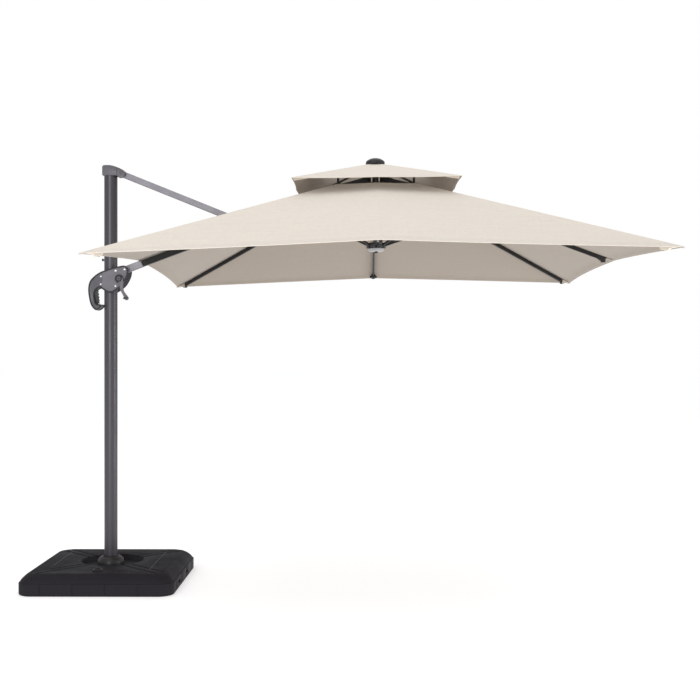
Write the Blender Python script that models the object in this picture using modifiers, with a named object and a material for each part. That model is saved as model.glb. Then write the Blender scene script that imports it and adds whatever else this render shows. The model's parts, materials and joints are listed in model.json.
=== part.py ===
"""Side-arm patio umbrella on a square tank base, built as separate sub-parts.

Units are metres and +Z is up. The origin is on the ground, on the mast's axis.
The canopy stands out along +X, and -Y is the side that carries the crank.

The mast side is a linkage: the upper arm hangs from the mast cap at ARM_PIN_TOP,
the lower arm is pinned in the sliding handle at ARM_PIN_LOW, and both meet at
ARM_PIN_MID. The two pin distances are equal, so the handle stays on the mast.
The canopy frame is the same linkage turned round its own axis: crown, rib,
strut and runner.
"""
import math

import bmesh
import bpy
from mathutils import Matrix, Vector

# --- driving dimensions ------------------------------------------------------
GAP = 0.0003

BASE_HALF = 0.465
BASE_SKIRT = 0.074
BASE_TOP = 0.126
BASE_BEVEL = 0.048
BASE_CORNER = 0.085
RECESS_RADIUS = 0.185
RECESS_FLOOR = 0.092
SOCKET_RADIUS = 0.052
CHANNEL_WIDTH = 0.062
CHANNEL_DEPTH = 0.010
CROSS_BAR = 0.040
CROSS_REACH = 0.52
FILLER_XY = (-0.010, -0.315)
FILLER_RADIUS = 0.030

MAST_RADIUS = 0.041
MAST_BORE = 0.038
MAST_FOOT = 0.046
MAST_TOP = 2.590
SLEEVE_BORE = 0.0415
SLEEVE_RADIUS = 0.045
SLEEVE_TOP = 1.949
SLEEVE_LOW = 1.838

ARM_PIN_TOP = (0.075, 2.563)
ARM_PIN_LOW = (0.075, 1.962)
ARM_PIN_MID = (0.822, 2.2625)
LOWER_ARM_SLOPE = 0.372
LOWER_ARM_DROP = 0.0085
LOWER_ARM_HEIGHT = 0.044
LOWER_ARM_WIDTH = 0.030
SPINE_HEIGHT = 0.040
UPPER_ARM_HEIGHT = 0.038
UPPER_ARM_WIDTH = 0.030
UPPER_ARM_TAPER = 0.070
UPPER_ARM_EYE = 0.0086
MID_PIN = 0.004
SPINE_START_X = 0.200

CANOPY_X = 1.669
CANOPY_TILT = math.radians(0.56)
CANOPY_HALF = 1.500
VENT_HALF = 0.240
HEM_MID_Z = 2.003
HEM_MAST_Z = 2.0345
HEM_CORNER_Z = 1.950
VENT_MID_Z = 2.484
VENT_CORNER_Z = 2.465
CLOTH = 0.003
VENT_POST_INSET = 0.013
TOP_HALF = 0.500
TOP_CORNER_Z = 2.468
TOP_APEX_Z = 2.630
SLIT_FROM_X = 0.715
SLIT_TO_X = 0.905
SLIT_HALF = 0.030

RIB_RING = 0.055
RIB_PIN_Z = 2.490
RUNNER_PIN_Z = 2.112
RIB_HEIGHT = 0.025
RIB_WIDTH = 0.012
RIB_UNDER_CLOTH = 0.001
CORNER_RIB_UNDER_CLOTH = 0.004
SIDE_RIB_REACH = 1.440
CORNER_RIB_REACH = 2.030
SIDE_FOLD = 66.0
CORNER_FOLD = 70.77
STRUT_HEIGHT = 0.012
STRUT_WIDTH = 0.008
PIN_DROP = 0.020

HOUSING_HALF = 0.060
HOUSING_INNER = 0.0455
GRIP_HALF = 0.020
CRANK_XZ = (0.065, 1.901)
KNOB_XZ = (0.1144, 1.7786)
TRIGGER_PIN = (-0.0880, 1.8290)

SIDE_RIBS = {"rib_right": 0, "rib_far": 90, "rib_near": 270}
CORNER_RIBS = {
    "rib_far_right": 45,
    "rib_far_left": 135,
    "rib_near_left": 225,
    "rib_near_right": 315,
}

# The outline of one half of the handle housing, as (x, z): a shield round the
# mast that runs into a hooked grip on the left.
HOUSING_OUTLINE = [
    (0.024, 1.9655), (0.074, 1.9765), (0.098, 1.9790), (0.1125, 1.9680),
    (0.1169, 1.9435), (0.1100, 1.9137), (0.0940, 1.8819), (0.0761, 1.8580),
    (0.0361, 1.8282), (0.0162, 1.8190), (-0.0038, 1.8202), (-0.0276, 1.8321),
    (-0.0500, 1.8470), (-0.0660, 1.8500), (-0.0850, 1.8400), (-0.0990, 1.8262),
    (-0.1043, 1.8062), (-0.1013, 1.7802), (-0.0953, 1.7563), (-0.0852, 1.7400),
    (-0.0700, 1.7390), (-0.0565, 1.7385), (-0.0560, 1.7310), (-0.0651, 1.7192),
    (-0.0852, 1.7082), (-0.1074, 1.7242), (-0.1214, 1.7502), (-0.1295, 1.7863),
    (-0.1345, 1.8262), (-0.1325, 1.8602), (-0.1235, 1.8882), (-0.1020, 1.9130),
    (-0.0690, 1.9330), (-0.0280, 1.9480),
]
SCREWS = [(-0.052, 1.917), (-0.053, 1.868), (0.0422, 1.9520), (0.0985, 1.9600), (0.0422, 1.856)]

# --- materials: colour, roughness, metallic ----------------------------------
FINISHES = {
    "tank_plastic": ((0.022, 0.021, 0.024), 0.62, 0.0),
    "anthracite_paint": ((0.060, 0.056, 0.064), 0.34, 0.75),
    "grey_paint": ((0.285, 0.265, 0.285), 0.38, 0.70),
    "housing_plastic": ((0.120, 0.112, 0.128), 0.42, 0.0),
    "black_paint": ((0.010, 0.010, 0.011), 0.45, 0.20),
    "black_plastic": ((0.014, 0.013, 0.015), 0.50, 0.0),
    "light_plastic": ((0.42, 0.41, 0.42), 0.45, 0.0),
    "bright_steel": ((0.80, 0.80, 0.82), 0.22, 1.0),
    "canopy_cloth": ((0.78, 0.72, 0.64), 0.90, 0.0),
}


def clear_scene():
    for obj in list(bpy.data.objects):
        bpy.data.objects.remove(obj, do_unlink=True)


def new_collection(name):
    collection = bpy.data.collections.new(name)
    bpy.context.scene.collection.children.link(collection)
    return collection


def finish(name):
    """Return the material called name, made on first use."""
    if name in bpy.data.materials:
        return bpy.data.materials[name]
    colour, roughness, metallic = FINISHES[name]
    material = bpy.data.materials.new(name)
    material.use_nodes = True
    shader = material.node_tree.nodes["Principled BSDF"]
    shader.inputs["Base Color"].default_value = (*colour, 1.0)
    shader.inputs["Roughness"].default_value = roughness
    shader.inputs["Metallic"].default_value = metallic
    material.diffuse_color = (*colour, 1.0)
    return material


def add_object(name, mesh, look, location=(0, 0, 0), spin=0.0):
    """Put a mesh in the umbrella's collection, turned by spin about Z."""
    obj = bpy.data.objects.new(name, mesh)
    PARTS.objects.link(obj)
    obj.location = location
    obj.rotation_euler = (0, 0, spin)
    mesh.materials.append(finish(look))
    return obj


def mesh_from(bm, name):
    bmesh.ops.recalc_face_normals(bm, faces=bm.faces)
    mesh = bpy.data.meshes.new(name)
    bm.to_mesh(mesh)
    bm.free()
    return mesh


def bevelled(obj, width, segments=1, angle=40):
    modifier = obj.modifiers.new("Bevel", "BEVEL")
    modifier.width = width
    modifier.segments = segments
    modifier.limit_method = "ANGLE"
    modifier.angle_limit = math.radians(angle)
    return obj


def box_mesh(name, low, high):
    low, high = Vector(low), Vector(high)
    bm = bmesh.new()
    bmesh.ops.create_cube(bm, size=1.0)
    size = high - low
    bmesh.ops.scale(bm, vec=size, verts=bm.verts)
    bmesh.ops.translate(bm, vec=(low + high) / 2, verts=bm.verts)
    return mesh_from(bm, name)


def box(name, low, high, look, spin=0.0):
    return add_object(name, box_mesh(name, low, high), look, (0, 0, 0), spin)


def turned(name, profile, look, location=(0, 0, 0), steps=32, closed=False):
    """Turn a profile of (radius, z) about Z. It runs from the top down the outer side."""
    mesh = bpy.data.meshes.new(name)
    edges = [(i, i + 1) for i in range(len(profile) - 1)]
    if closed:
        edges.append((len(profile) - 1, 0))
    mesh.from_pydata([(radius, 0, z) for radius, z in profile], edges, [])
    obj = add_object(name, mesh, look, location)
    screw = obj.modifiers.new("Screw", "SCREW")
    screw.angle = 2 * math.pi
    screw.steps = steps
    screw.render_steps = steps
    screw.use_merge_vertices = True
    screw.merge_threshold = 0.0001
    screw.use_smooth_shade = False
    return obj


def plate_mesh(name, outline, y_low, y_high):
    """A flat outline in (x, z), made a solid between two Y planes."""
    bm = bmesh.new()
    ring = [bm.verts.new((x, y_low, z)) for x, z in outline]
    face = bm.faces.new(ring)
    moved = bmesh.ops.extrude_face_region(bm, geom=[face])
    verts = [v for v in moved["geom"] if isinstance(v, bmesh.types.BMVert)]
    bmesh.ops.translate(bm, vec=(0, y_high - y_low, 0), verts=verts)
    return mesh_from(bm, name)


def plate(name, outline, half_width, look, location=(0, 0, 0), spin=0.0):
    mesh = plate_mesh(name, outline, -half_width, half_width)
    return add_object(name, mesh, look, location, spin)


def arc(centre, radius, start, stop, steps):
    """Points on an arc in the (x, z) plane, angles in degrees."""
    points = []
    for i in range(steps + 1):
        angle = math.radians(start + (stop - start) * i / steps)
        x = centre[0] + radius * math.cos(angle)
        points.append((x, centre[1] + radius * math.sin(angle)))
    return points


def smooth_outline(points, steps):
    """A closed Catmull-Rom curve through the points, with steps spans each."""
    count = len(points)
    out = []
    for i in range(count):
        p0, p1, p2, p3 = (Vector(points[(i + k) % count]) for k in (-1, 0, 1, 2))
        for step in range(steps):
            t = step / steps
            spot = 0.5 * (
                2 * p1
                + (p2 - p0) * t
                + (2 * p0 - 5 * p1 + 4 * p2 - p3) * t ** 2
                + (3 * p1 - p0 - 3 * p2 + p3) * t ** 3
            )
            out.append((spot.x, spot.y))
    return out


def cutter(name, mesh, spin=0.0, location=(0, 0, 0)):
    obj = bpy.data.objects.new(name, mesh)
    CUTTERS.objects.link(obj)
    obj.rotation_euler = (0, 0, spin)
    obj.location = location
    obj.hide_render = True
    obj.display_type = "WIRE"
    return obj


def cylinder_mesh(name, radius, z_low, z_high, centre=(0, 0), segments=32):
    bm = bmesh.new()
    bmesh.ops.create_cone(
        bm, cap_ends=True, segments=segments,
        radius1=radius, radius2=radius, depth=z_high - z_low,
    )
    bmesh.ops.translate(bm, vec=(*centre, (z_low + z_high) / 2), verts=bm.verts)
    return mesh_from(bm, name)


def cylinder_along_y(name, radius, y_low, y_high, x, z, segments=24):
    bm = bmesh.new()
    bmesh.ops.create_cone(
        bm, cap_ends=True, segments=segments,
        radius1=radius, radius2=radius, depth=y_high - y_low,
    )
    bmesh.ops.rotate(bm, matrix=Matrix.Rotation(math.pi / 2, 3, "X"), verts=bm.verts)
    bmesh.ops.translate(bm, vec=(x, (y_low + y_high) / 2, z), verts=bm.verts)
    return mesh_from(bm, name)


def cut(obj, tool, operation="DIFFERENCE"):
    modifier = obj.modifiers.new(tool.name, "BOOLEAN")
    modifier.operation = operation
    modifier.object = tool
    modifier.solver = "EXACT"
    return obj


# --- base --------------------------------------------------------------------
def square_ring(half, corner, z, steps=5):
    """A square outline with rounded corners, as points at height z."""
    points = []
    for quarter in range(4):
        turn = Matrix.Rotation(math.radians(90 * quarter), 2)
        for x, y in arc((half - corner, half - corner), corner, 0, 90, steps):
            spot = turn @ Vector((x, y))
            points.append((spot.x, spot.y, z))
    return points


def stack_of_rings(name, rings):
    """A closed solid through rings of equally many points, bottom ring first."""
    bm = bmesh.new()
    rows = [[bm.verts.new(p) for p in ring] for ring in rings]
    count = len(rows[0])
    bm.faces.new(list(reversed(rows[0])))
    bm.faces.new(rows[-1])
    for below, above in zip(rows, rows[1:]):
        for i in range(count):
            j = (i + 1) % count
            bm.faces.new((below[i], below[j], above[j], above[i]))
    return mesh_from(bm, name)


def make_tank():
    """The water tank, taken as full: a solid block with its recess and channels."""
    rings = [
        square_ring(BASE_HALF - 0.006, BASE_CORNER, 0.0),
        square_ring(BASE_HALF, BASE_CORNER, 0.008),
        square_ring(BASE_HALF, BASE_CORNER, BASE_SKIRT),
        square_ring(BASE_HALF - BASE_BEVEL * 0.45, BASE_CORNER, BASE_SKIRT + 0.030),
        square_ring(BASE_HALF - BASE_BEVEL, BASE_CORNER, BASE_TOP),
    ]
    tank = add_object("base_tank", stack_of_rings("base_tank", rings), "tank_plastic")
    high = BASE_TOP + 0.05
    recess = cylinder_mesh("recess", RECESS_RADIUS, RECESS_FLOOR, high, segments=40)
    cut(tank, cutter("recess_cutter", recess))
    socket = cylinder_mesh("socket", SOCKET_RADIUS, -0.05, high)
    cut(tank, cutter("socket_cutter", socket))
    half, reach = CHANNEL_WIDTH / 2, CROSS_REACH + 0.012
    for spin in (45, 135):
        top = box_mesh("channel", (-reach, -half, BASE_TOP - CHANNEL_DEPTH), (reach, half, high))
        cut(tank, cutter(f"top_channel_{spin}", top, math.radians(spin)))
        slot_half = CROSS_BAR / 2 + 0.004
        under = box_mesh("slot", (-reach, -slot_half, -0.05), (reach, slot_half, CROSS_BAR + 0.004))
        cut(tank, cutter(f"under_slot_{spin}", under, math.radians(spin)))
    neck = cylinder_mesh("neck", FILLER_RADIUS * 0.72, BASE_TOP - 0.030, high, FILLER_XY, 24)
    cut(tank, cutter("filler_neck", neck))


def make_filler_cap():
    """A push-in cap: a flange on the tank top and a plug in the filler neck."""
    plug = FILLER_RADIUS * 0.72 - 0.0006
    profile = [
        (0, 0.009), (FILLER_RADIUS * 0.86, 0.009), (FILLER_RADIUS, 0.006),
        (FILLER_RADIUS, GAP), (plug, GAP), (plug, -0.020), (0, -0.020),
    ]
    turned("filler_cap", profile, "black_plastic", (*FILLER_XY, BASE_TOP), 24)


def make_cross_base():
    """The steel cross under the tank, as one long bar and two half bars."""
    half = CROSS_BAR / 2
    foot = MAST_FOOT + GAP
    for name, low_x, high_x, spin in (
        ("cross_bar_long", -CROSS_REACH, CROSS_REACH, 45),
        ("cross_bar_left", half + GAP, CROSS_REACH, 135),
        ("cross_bar_right", half + GAP, CROSS_REACH, 315),
    ):
        box(name, (low_x, -half, 0.0), (high_x, half, CROSS_BAR), "black_paint",
            spin=math.radians(spin))
    socket = [
        (foot, 0.160), (0.0505, 0.160), (0.0505, CROSS_BAR + 0.0083),
        (0.0505, CROSS_BAR + GAP), (foot, CROSS_BAR + GAP),
    ]
    turned("mast_socket", socket, "black_paint", closed=True)


def make_foot_collar():
    """The domed cover ring round the mast foot, resting in the recess."""
    floor = RECESS_FLOOR + GAP
    inner = 0.0512
    profile = [
        (inner, 0.158), (0.058, 0.1585), (0.068, 0.152), (0.0785, 0.138), (0.0825, 0.120),
        (0.0825, floor), (inner, floor),
    ]
    turned("foot_collar", profile, "black_plastic", closed=True, steps=36)


# --- mast --------------------------------------------------------------------
def make_mast():
    bottom = CROSS_BAR + 2 * GAP
    profile = [
        (MAST_BORE, MAST_TOP), (MAST_RADIUS, MAST_TOP),
        (MAST_RADIUS, bottom), (MAST_BORE, bottom),
    ]
    turned("mast", profile, "anthracite_paint", closed=True, steps=40)


def make_mast_cap():
    """The cap over the mast's top, with a snout that forks round the upper arm."""
    outline = [
        (-0.0455, 2.551), (-0.0455, 2.606), (-0.040, 2.613), (-0.028, 2.6155), (0.000, 2.6155),
        (0.024, 2.611), (0.060, 2.598), (0.085, 2.585), (0.097, 2.574), (0.0985, 2.563),
        (0.094, 2.550), (0.082, 2.5455), (0.0455, 2.5455), (0.0455, 2.551),
    ]
    cap = plate("mast_cap", outline, 0.0455, "housing_plastic")
    bevelled(cap, 0.003, 2, 60)
    bore = cylinder_mesh("cap_bore", MAST_RADIUS + GAP, 2.50, MAST_TOP + GAP, segments=40)
    cut(cap, cutter("cap_bore", bore))
    half = UPPER_ARM_WIDTH / 2 + 0.001
    fork = box_mesh("fork", (0.0470, -half, 2.45), (0.20, half, 2.65))
    cut(cap, cutter("cap_fork", fork))
    pin_hole = cylinder_along_y("pin_bore", 0.0053, -0.08, 0.08, *ARM_PIN_TOP)
    cut(cap, cutter("cap_pin_bore", pin_hole))


def pin(name, xz, half_length, radius=0.005):
    """A plain pin along Y with a head at each end."""
    mesh = cylinder_along_y(name, radius, -half_length, half_length, 0, 0)
    return add_object(name, mesh, "bright_steel", (xz[0], 0, xz[1]))


def make_back_knob():
    """The small button on the mast's rear side, which the tie strap hooks on."""
    obj = turned("strap_button", [
        (0, 0.014), (0.008, 0.013), (0.010, 0.009), (0.0075, 0.0055), (0.0045, 0.0045),
        (0.0045, 0.0), (0, 0.0),
    ], "black_plastic", (-MAST_RADIUS - GAP * 2, 0, 2.023), 16)
    obj.rotation_euler = (0, -math.pi / 2, 0)


# --- arms --------------------------------------------------------------------
def tilt(points, slope, start=(0, 0)):
    angle = math.atan(slope)
    cos, sin = math.cos(angle), math.sin(angle)
    return [(start[0] + x * cos - z * sin, start[1] + x * sin + z * cos) for x, z in points]


def make_upper_arm():
    """The arm from the mast cap, which tapers to a small eye over the spine."""
    span = (ARM_PIN_MID[0] - ARM_PIN_TOP[0], ARM_PIN_MID[1] - ARM_PIN_TOP[1])
    length = math.hypot(*span)
    half = UPPER_ARM_HEIGHT / 2
    outline = arc((0, 0), half, 90, 270, 8) + [(length - UPPER_ARM_TAPER, -half)]
    outline += arc((length, 0), UPPER_ARM_EYE, -80, 80, 8) + [(length - UPPER_ARM_TAPER, half)]
    arm = plate("upper_arm", tilt(outline, span[1] / span[0]), UPPER_ARM_WIDTH / 2,
                "grey_paint", (ARM_PIN_TOP[0], 0, ARM_PIN_TOP[1]))
    bevelled(arm, 0.003, 1, 60)
    for name, xz, radius in (("top", ARM_PIN_TOP, 0.005), ("mid", ARM_PIN_MID, MID_PIN)):
        hole = cylinder_along_y(f"upper_arm_{name}", radius + GAP, -0.05, 0.05, *xz)
        cut(arm, cutter(f"upper_arm_{name}_hole", hole))
    pin("arm_pin_top", ARM_PIN_TOP, HOUSING_HALF - 0.014)


def beam_z(x):
    """Height of the lower arm's centre line, which runs just under the lower pin."""
    return ARM_PIN_LOW[1] - LOWER_ARM_DROP + LOWER_ARM_SLOPE * (x - ARM_PIN_LOW[0])


def make_lower_arm():
    """The grey tube from the handle to the canopy's edge."""
    angle = math.atan(LOWER_ARM_SLOPE)
    length = (SPINE_START_X - ARM_PIN_LOW[0]) / math.cos(angle)
    half = LOWER_ARM_HEIGHT / 2
    outline = arc((0, 0), half, 90, 270, 8) + [(length, -half), (length, half)]
    outline = tilt(outline, LOWER_ARM_SLOPE, (0, -LOWER_ARM_DROP))
    arm = plate("lower_arm", outline, LOWER_ARM_WIDTH / 2,
                "grey_paint", (ARM_PIN_LOW[0], 0, ARM_PIN_LOW[1]))
    bevelled(arm, 0.003, 1, 60)
    cut(arm, cutter("lower_arm_hole", cylinder_along_y("hole", 0.0053, -0.05, 0.05, *ARM_PIN_LOW)))


def make_spine():
    """The black beam that carries on from the lower arm's end to the crown."""
    cos = math.cos(math.atan(LOWER_ARM_SLOPE))
    half, stop = SPINE_HEIGHT / 2, CANOPY_X - 0.052
    start = (SPINE_START_X - ARM_PIN_LOW[0]) / cos + GAP
    butt = tilt([(start, half), (start, -half)], LOWER_ARM_SLOPE, (0, -LOWER_ARM_DROP))
    outline = [(ARM_PIN_LOW[0] + x, ARM_PIN_LOW[1] + z) for x, z in butt]
    outline += [(stop, beam_z(stop) - half / cos), (stop, beam_z(stop) + half / cos)]
    shifted = [(x - ARM_PIN_MID[0], z - ARM_PIN_MID[1]) for x, z in outline]
    plate("spine_beam", shifted, LOWER_ARM_WIDTH / 2, "black_paint",
          (ARM_PIN_MID[0], 0, ARM_PIN_MID[1]))


def make_arm_bracket():
    """Two cheeks on the spine's flanks that hold the upper arm's lower pin."""
    angle = math.atan(LOWER_ARM_SLOPE)
    drop = (ARM_PIN_MID[1] - beam_z(ARM_PIN_MID[0])) * math.cos(angle)
    reach = SPINE_HEIGHT / 2
    outline = arc((0, 0), 0.014, 0, 180, 8) + [(-0.034, -drop), (-0.034, -drop - reach * 0.8),
                                              (0.034, -drop - reach * 0.8), (0.034, -drop)]
    inner = LOWER_ARM_WIDTH / 2 + GAP
    for side, low, high in (("near", -inner - 0.004, -inner), ("far", inner, inner + 0.004)):
        mesh = plate_mesh(f"arm_bracket_{side}", tilt(outline, LOWER_ARM_SLOPE), low, high)
        bracket = add_object(f"arm_bracket_{side}", mesh, "black_paint",
                             (ARM_PIN_MID[0], 0, ARM_PIN_MID[1]))
        hole = cylinder_along_y(f"{side}_hole", MID_PIN + GAP, low - 0.01, high + 0.01, *ARM_PIN_MID)
        cut(bracket, cutter(f"arm_bracket_{side}_hole", hole))
    pin("arm_pin_mid", ARM_PIN_MID, inner + 0.0075, MID_PIN)


# --- crown, ribs and runner --------------------------------------------------
def slotted(obj, tag, centre_z, inner_radius, width, azimuths):
    """Cut radial slots from inner_radius outward at each azimuth."""
    for azimuth in azimuths:
        tool = box_mesh(f"{tag}_slot", (inner_radius, -width / 2, -0.06), (0.12, width / 2, 0.06))
        cut(obj, cutter(f"{tag}_slot_{azimuth}", tool, math.radians(azimuth),
                        (CANOPY_X, 0, centre_z)))


def rib_azimuths():
    return sorted([*SIDE_RIBS.values(), *CORNER_RIBS.values()])


def make_crown():
    profile = [
        (0, 2.5955), (0.020, 2.5955), (0.020, 2.512), (0.068, 2.506), (0.072, 2.500),
        (0.072, 2.478), (0.066, 2.472), (0, 2.472),
    ]
    crown = turned("crown_hub", profile, "black_plastic", (CANOPY_X, 0, 0), 40)
    slotted(crown, "crown", 2.49, RIB_RING - 0.0105, RIB_WIDTH + 0.001, rib_azimuths())
    notch = box_mesh("notch", (-0.12, -LOWER_ARM_WIDTH / 2 - GAP, 2.46),
                     (-0.052 + GAP, LOWER_ARM_WIDTH / 2 + GAP, 2.62))
    cut(crown, cutter("crown_beam_notch", notch, 0.0, (CANOPY_X, 0, 0)))
    cap = [
        (0, 2.6610), (0.020, 2.6605), (0.034, 2.6570), (0.050, 2.6480), (0.0565, 2.6420),
        (0.0565, 2.6375), (0.026, 2.6375), (0.026, 2.5958), (0, 2.5958),
    ]
    turned("finial", cap, "black_plastic", (CANOPY_X, 0, 0), 32)


def rib_line(corner):
    """Centre line of a rib: height above the rib pin at the ring, and its fall."""
    if corner:
        root = math.sqrt(2)
        fall = (VENT_CORNER_Z - HEM_CORNER_Z) / ((CANOPY_HALF - VENT_HALF) * root)
        cloth = VENT_CORNER_Z + fall * (VENT_HALF * root - RIB_RING)
        space = CORNER_RIB_UNDER_CLOTH
    else:
        fall = (VENT_MID_Z - HEM_MID_Z) / (CANOPY_HALF - VENT_HALF)
        cloth = VENT_MID_Z + fall * (VENT_HALF - RIB_RING)
        space = RIB_UNDER_CLOTH
    drop = (RIB_HEIGHT / 2 + space) * math.hypot(1, fall)
    return cloth - drop - RIB_PIN_Z, fall


def make_rib(name, azimuth, corner):
    """A rib in its own plane, with a lug that hangs down to the crown's pin ring."""
    rise, fall = rib_line(corner)
    half = RIB_HEIGHT / 2 * math.hypot(1, fall)
    reach = (CORNER_RIB_REACH if corner else SIDE_RIB_REACH) - RIB_RING

    def edge(x, side):
        return (x, rise - fall * x + side * half)

    outline = arc((0, 0), 0.009, 180, 360, 8)
    outline += [edge(0.012, -1), edge(reach - 0.03, -1), (reach - 0.028, edge(reach, -1)[1] - 0.006)]
    outline += [(reach, edge(reach, -1)[1] - 0.006), edge(reach, 1), edge(-0.009, 1)]
    plate(name, outline, RIB_WIDTH / 2, "black_paint", ring_spot(azimuth, RIB_PIN_Z),
          math.radians(azimuth))


def ring_spot(azimuth, z, radius=RIB_RING):
    angle = math.radians(azimuth)
    return (CANOPY_X + radius * math.cos(angle), radius * math.sin(angle), z)


def strut_pin(corner):
    """Where the strut's outer pin is, out from the rib pin and up from it.

    On a side rib it is midway in height between the rib pin and the runner pin, so
    rib, strut and runner stay in step. On a corner rib it is where the strut fits
    both open and with the ribs folded down.
    """
    rise, fall = rib_line(corner)
    hang = rise - PIN_DROP * math.hypot(1, fall)
    opened = RIB_PIN_Z - RUNNER_PIN_Z
    if not corner:
        return (hang + opened / 2) / fall, -opened / 2
    reach, height = strut_pin(False)
    turn = math.radians(SIDE_FOLD)
    folded = 2 * (reach * math.sin(turn) - height * math.cos(turn))
    turn = math.radians(CORNER_FOLD)
    fixed = opened ** 2 - folded ** 2 + 2 * hang * (opened - folded * math.cos(turn))
    reach = fixed / (2 * opened * fall - 2 * folded * (math.sin(turn) + fall * math.cos(turn)))
    return reach, hang - fall * reach


def make_strut(name, azimuth, corner):
    reach, height = strut_pin(corner)
    pin_z = RIB_PIN_Z + height
    length = math.hypot(reach, pin_z - RUNNER_PIN_Z)
    half = STRUT_HEIGHT / 2
    outline = arc((0, 0), half, 90, 270, 6) + arc((length, 0), half, -90, 90, 6)
    slope = (pin_z - RUNNER_PIN_Z) / reach
    from_outer = [(x - reach, z - (pin_z - RUNNER_PIN_Z)) for x, z in tilt(outline, slope)]
    plate(name, from_outer, STRUT_WIDTH / 2, "black_paint",
          ring_spot(azimuth, pin_z, RIB_RING + reach), math.radians(azimuth))


def make_vent_rib(name, azimuth):
    """A light rib under the top tier, on a post that stands on a corner rib."""
    rise, fall = rib_line(True)
    top_fall = (TOP_APEX_Z - TOP_CORNER_Z) / (TOP_HALF * math.sqrt(2))
    post = VENT_HALF * math.sqrt(2) - RIB_RING - VENT_POST_INSET
    half = RIB_HEIGHT / 2 * math.hypot(1, fall)
    post_low = rise - fall * post + half + GAP + 0.003

    def under_cloth(x, drop):
        return (x, TOP_APEX_Z - top_fall * (x + RIB_RING) - RIB_PIN_Z - drop)

    tip = TOP_HALF * math.sqrt(2) - RIB_RING - 0.045
    outline = [under_cloth(-0.015, 0.013), under_cloth(post - 0.006, 0.013)]
    outline += [(post - 0.006, post_low), (post + 0.006, post_low), under_cloth(post + 0.006, 0.013)]
    outline += [under_cloth(tip, 0.013), under_cloth(tip, 0.003), under_cloth(-0.015, 0.003)]
    plate(name, outline, 0.004, "black_paint", ring_spot(azimuth, RIB_PIN_Z), math.radians(azimuth))


def make_runner():
    """The lower hub that all the struts meet in, with its plate and pull knob."""
    profile = [
        (0, 2.131), (0.040, 2.131), (0.0575, 2.127), (0.0615, 2.122),
        (0.0615, 2.100), (0.058, 2.0945), (0, 2.0945),
    ]
    runner = turned("runner_hub", profile, "black_plastic", (CANOPY_X, 0, 0), 40)
    slotted(runner, "runner", RUNNER_PIN_Z, RIB_RING - 0.0075, STRUT_WIDTH + 0.001, rib_azimuths())
    plate_profile = [
        (0, 2.0942), (0.050, 2.0942), (0.053, 2.091), (0.047, 2.078), (0.040, 2.075), (0, 2.075),
    ]
    turned("runner_plate", plate_profile, "light_plastic", (CANOPY_X, 0, 0), 32)
    knob = [
        (0, 2.0747), (0.010, 2.0747), (0.0115, 2.070), (0.009, 2.065), (0, 2.064),
    ]
    turned("runner_knob", knob, "black_plastic", (CANOPY_X, 0, 0), 16)


# --- canopy ------------------------------------------------------------------
def canopy_point(quarter, out, across):
    """A point on the cloth's underside, from the canopy's axis.

    out is the distance toward the middle of a side, across runs along that side,
    and quarter turns it: 0 is +X, 1 is +Y, 2 is the mast side and 3 is -Y.
    """
    part = (out - VENT_HALF) / (CANOPY_HALF - VENT_HALF)
    hem = HEM_MAST_Z if quarter == 2 else HEM_MID_Z
    vent = VENT_MID_Z + (0.006 if quarter == 2 else 0.0)
    middle = vent + (hem - vent) * part
    corner = VENT_CORNER_Z + (HEM_CORNER_Z - VENT_CORNER_Z) * part
    share = abs(across) / out
    spot = Matrix.Rotation(math.radians(90 * quarter), 2) @ Vector((out, across))
    return (spot.x, spot.y, middle + (corner - middle) * share)


def cloth_solid(name, quads, thickness, look):
    """Give a sheet of quads a thickness, upward from its underside."""
    bm = bmesh.new()
    for quad in quads:
        bm.faces.new([bm.verts.new(p) for p in quad])
    bmesh.ops.remove_doubles(bm, verts=bm.verts, dist=0.00005)
    mesh = bpy.data.meshes.new(name)
    bm.to_mesh(mesh)
    bm.free()
    obj = add_object(name, mesh, look, (CANOPY_X, 0, 0))
    solid = obj.modifiers.new("Solidify", "SOLIDIFY")
    solid.thickness = thickness
    solid.offset = 1.0
    return obj


def make_main_canopy():
    outs = [VENT_HALF + (CANOPY_HALF - VENT_HALF) * i / 4 for i in range(5)]
    shares = [i / 3 for i in range(-3, 4)]
    quads = []
    for quarter in range(4):
        for near, far in zip(outs, outs[1:]):
            for left, right in zip(shares, shares[1:]):
                quads.append([
                    canopy_point(quarter, near, near * left),
                    canopy_point(quarter, far, far * left),
                    canopy_point(quarter, far, far * right),
                    canopy_point(quarter, near, near * right),
                ])
    canopy = cloth_solid("canopy_main", quads, CLOTH, "canopy_cloth")
    slit = box_mesh("slit", (SLIT_FROM_X, -SLIT_HALF, 2.10), (SLIT_TO_X, SLIT_HALF, 2.45))
    cut(canopy, cutter("canopy_slit", slit))


def make_top_canopy():
    """The small upper tier that covers the vent, open round the finial's stem."""
    fall = (TOP_APEX_Z - TOP_CORNER_Z) / TOP_HALF
    steps = [0.028, 0.18, 0.34, TOP_HALF]
    quads = []
    for quarter in range(4):
        turn = Matrix.Rotation(math.radians(90 * quarter), 2)
        for near, far in zip(steps, steps[1:]):
            for left, right in ((-1, 0), (0, 1)):
                quad = []
                for out, share in ((near, left), (far, left), (far, right), (near, right)):
                    spot = turn @ Vector((out, out * share))
                    quad.append((spot.x, spot.y, TOP_APEX_Z - fall * out))
                quads.append(quad)
    cloth_solid("canopy_top", quads, CLOTH, "canopy_cloth")


# --- handle ------------------------------------------------------------------
def housing_outer(x):
    """Half width of the housing at x: wide round the mast, narrow at the grip."""
    share = min(max((-0.040 - x) / 0.062, 0.0), 1.0)
    return HOUSING_HALF + (GRIP_HALF - HOUSING_HALF) * share


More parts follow.
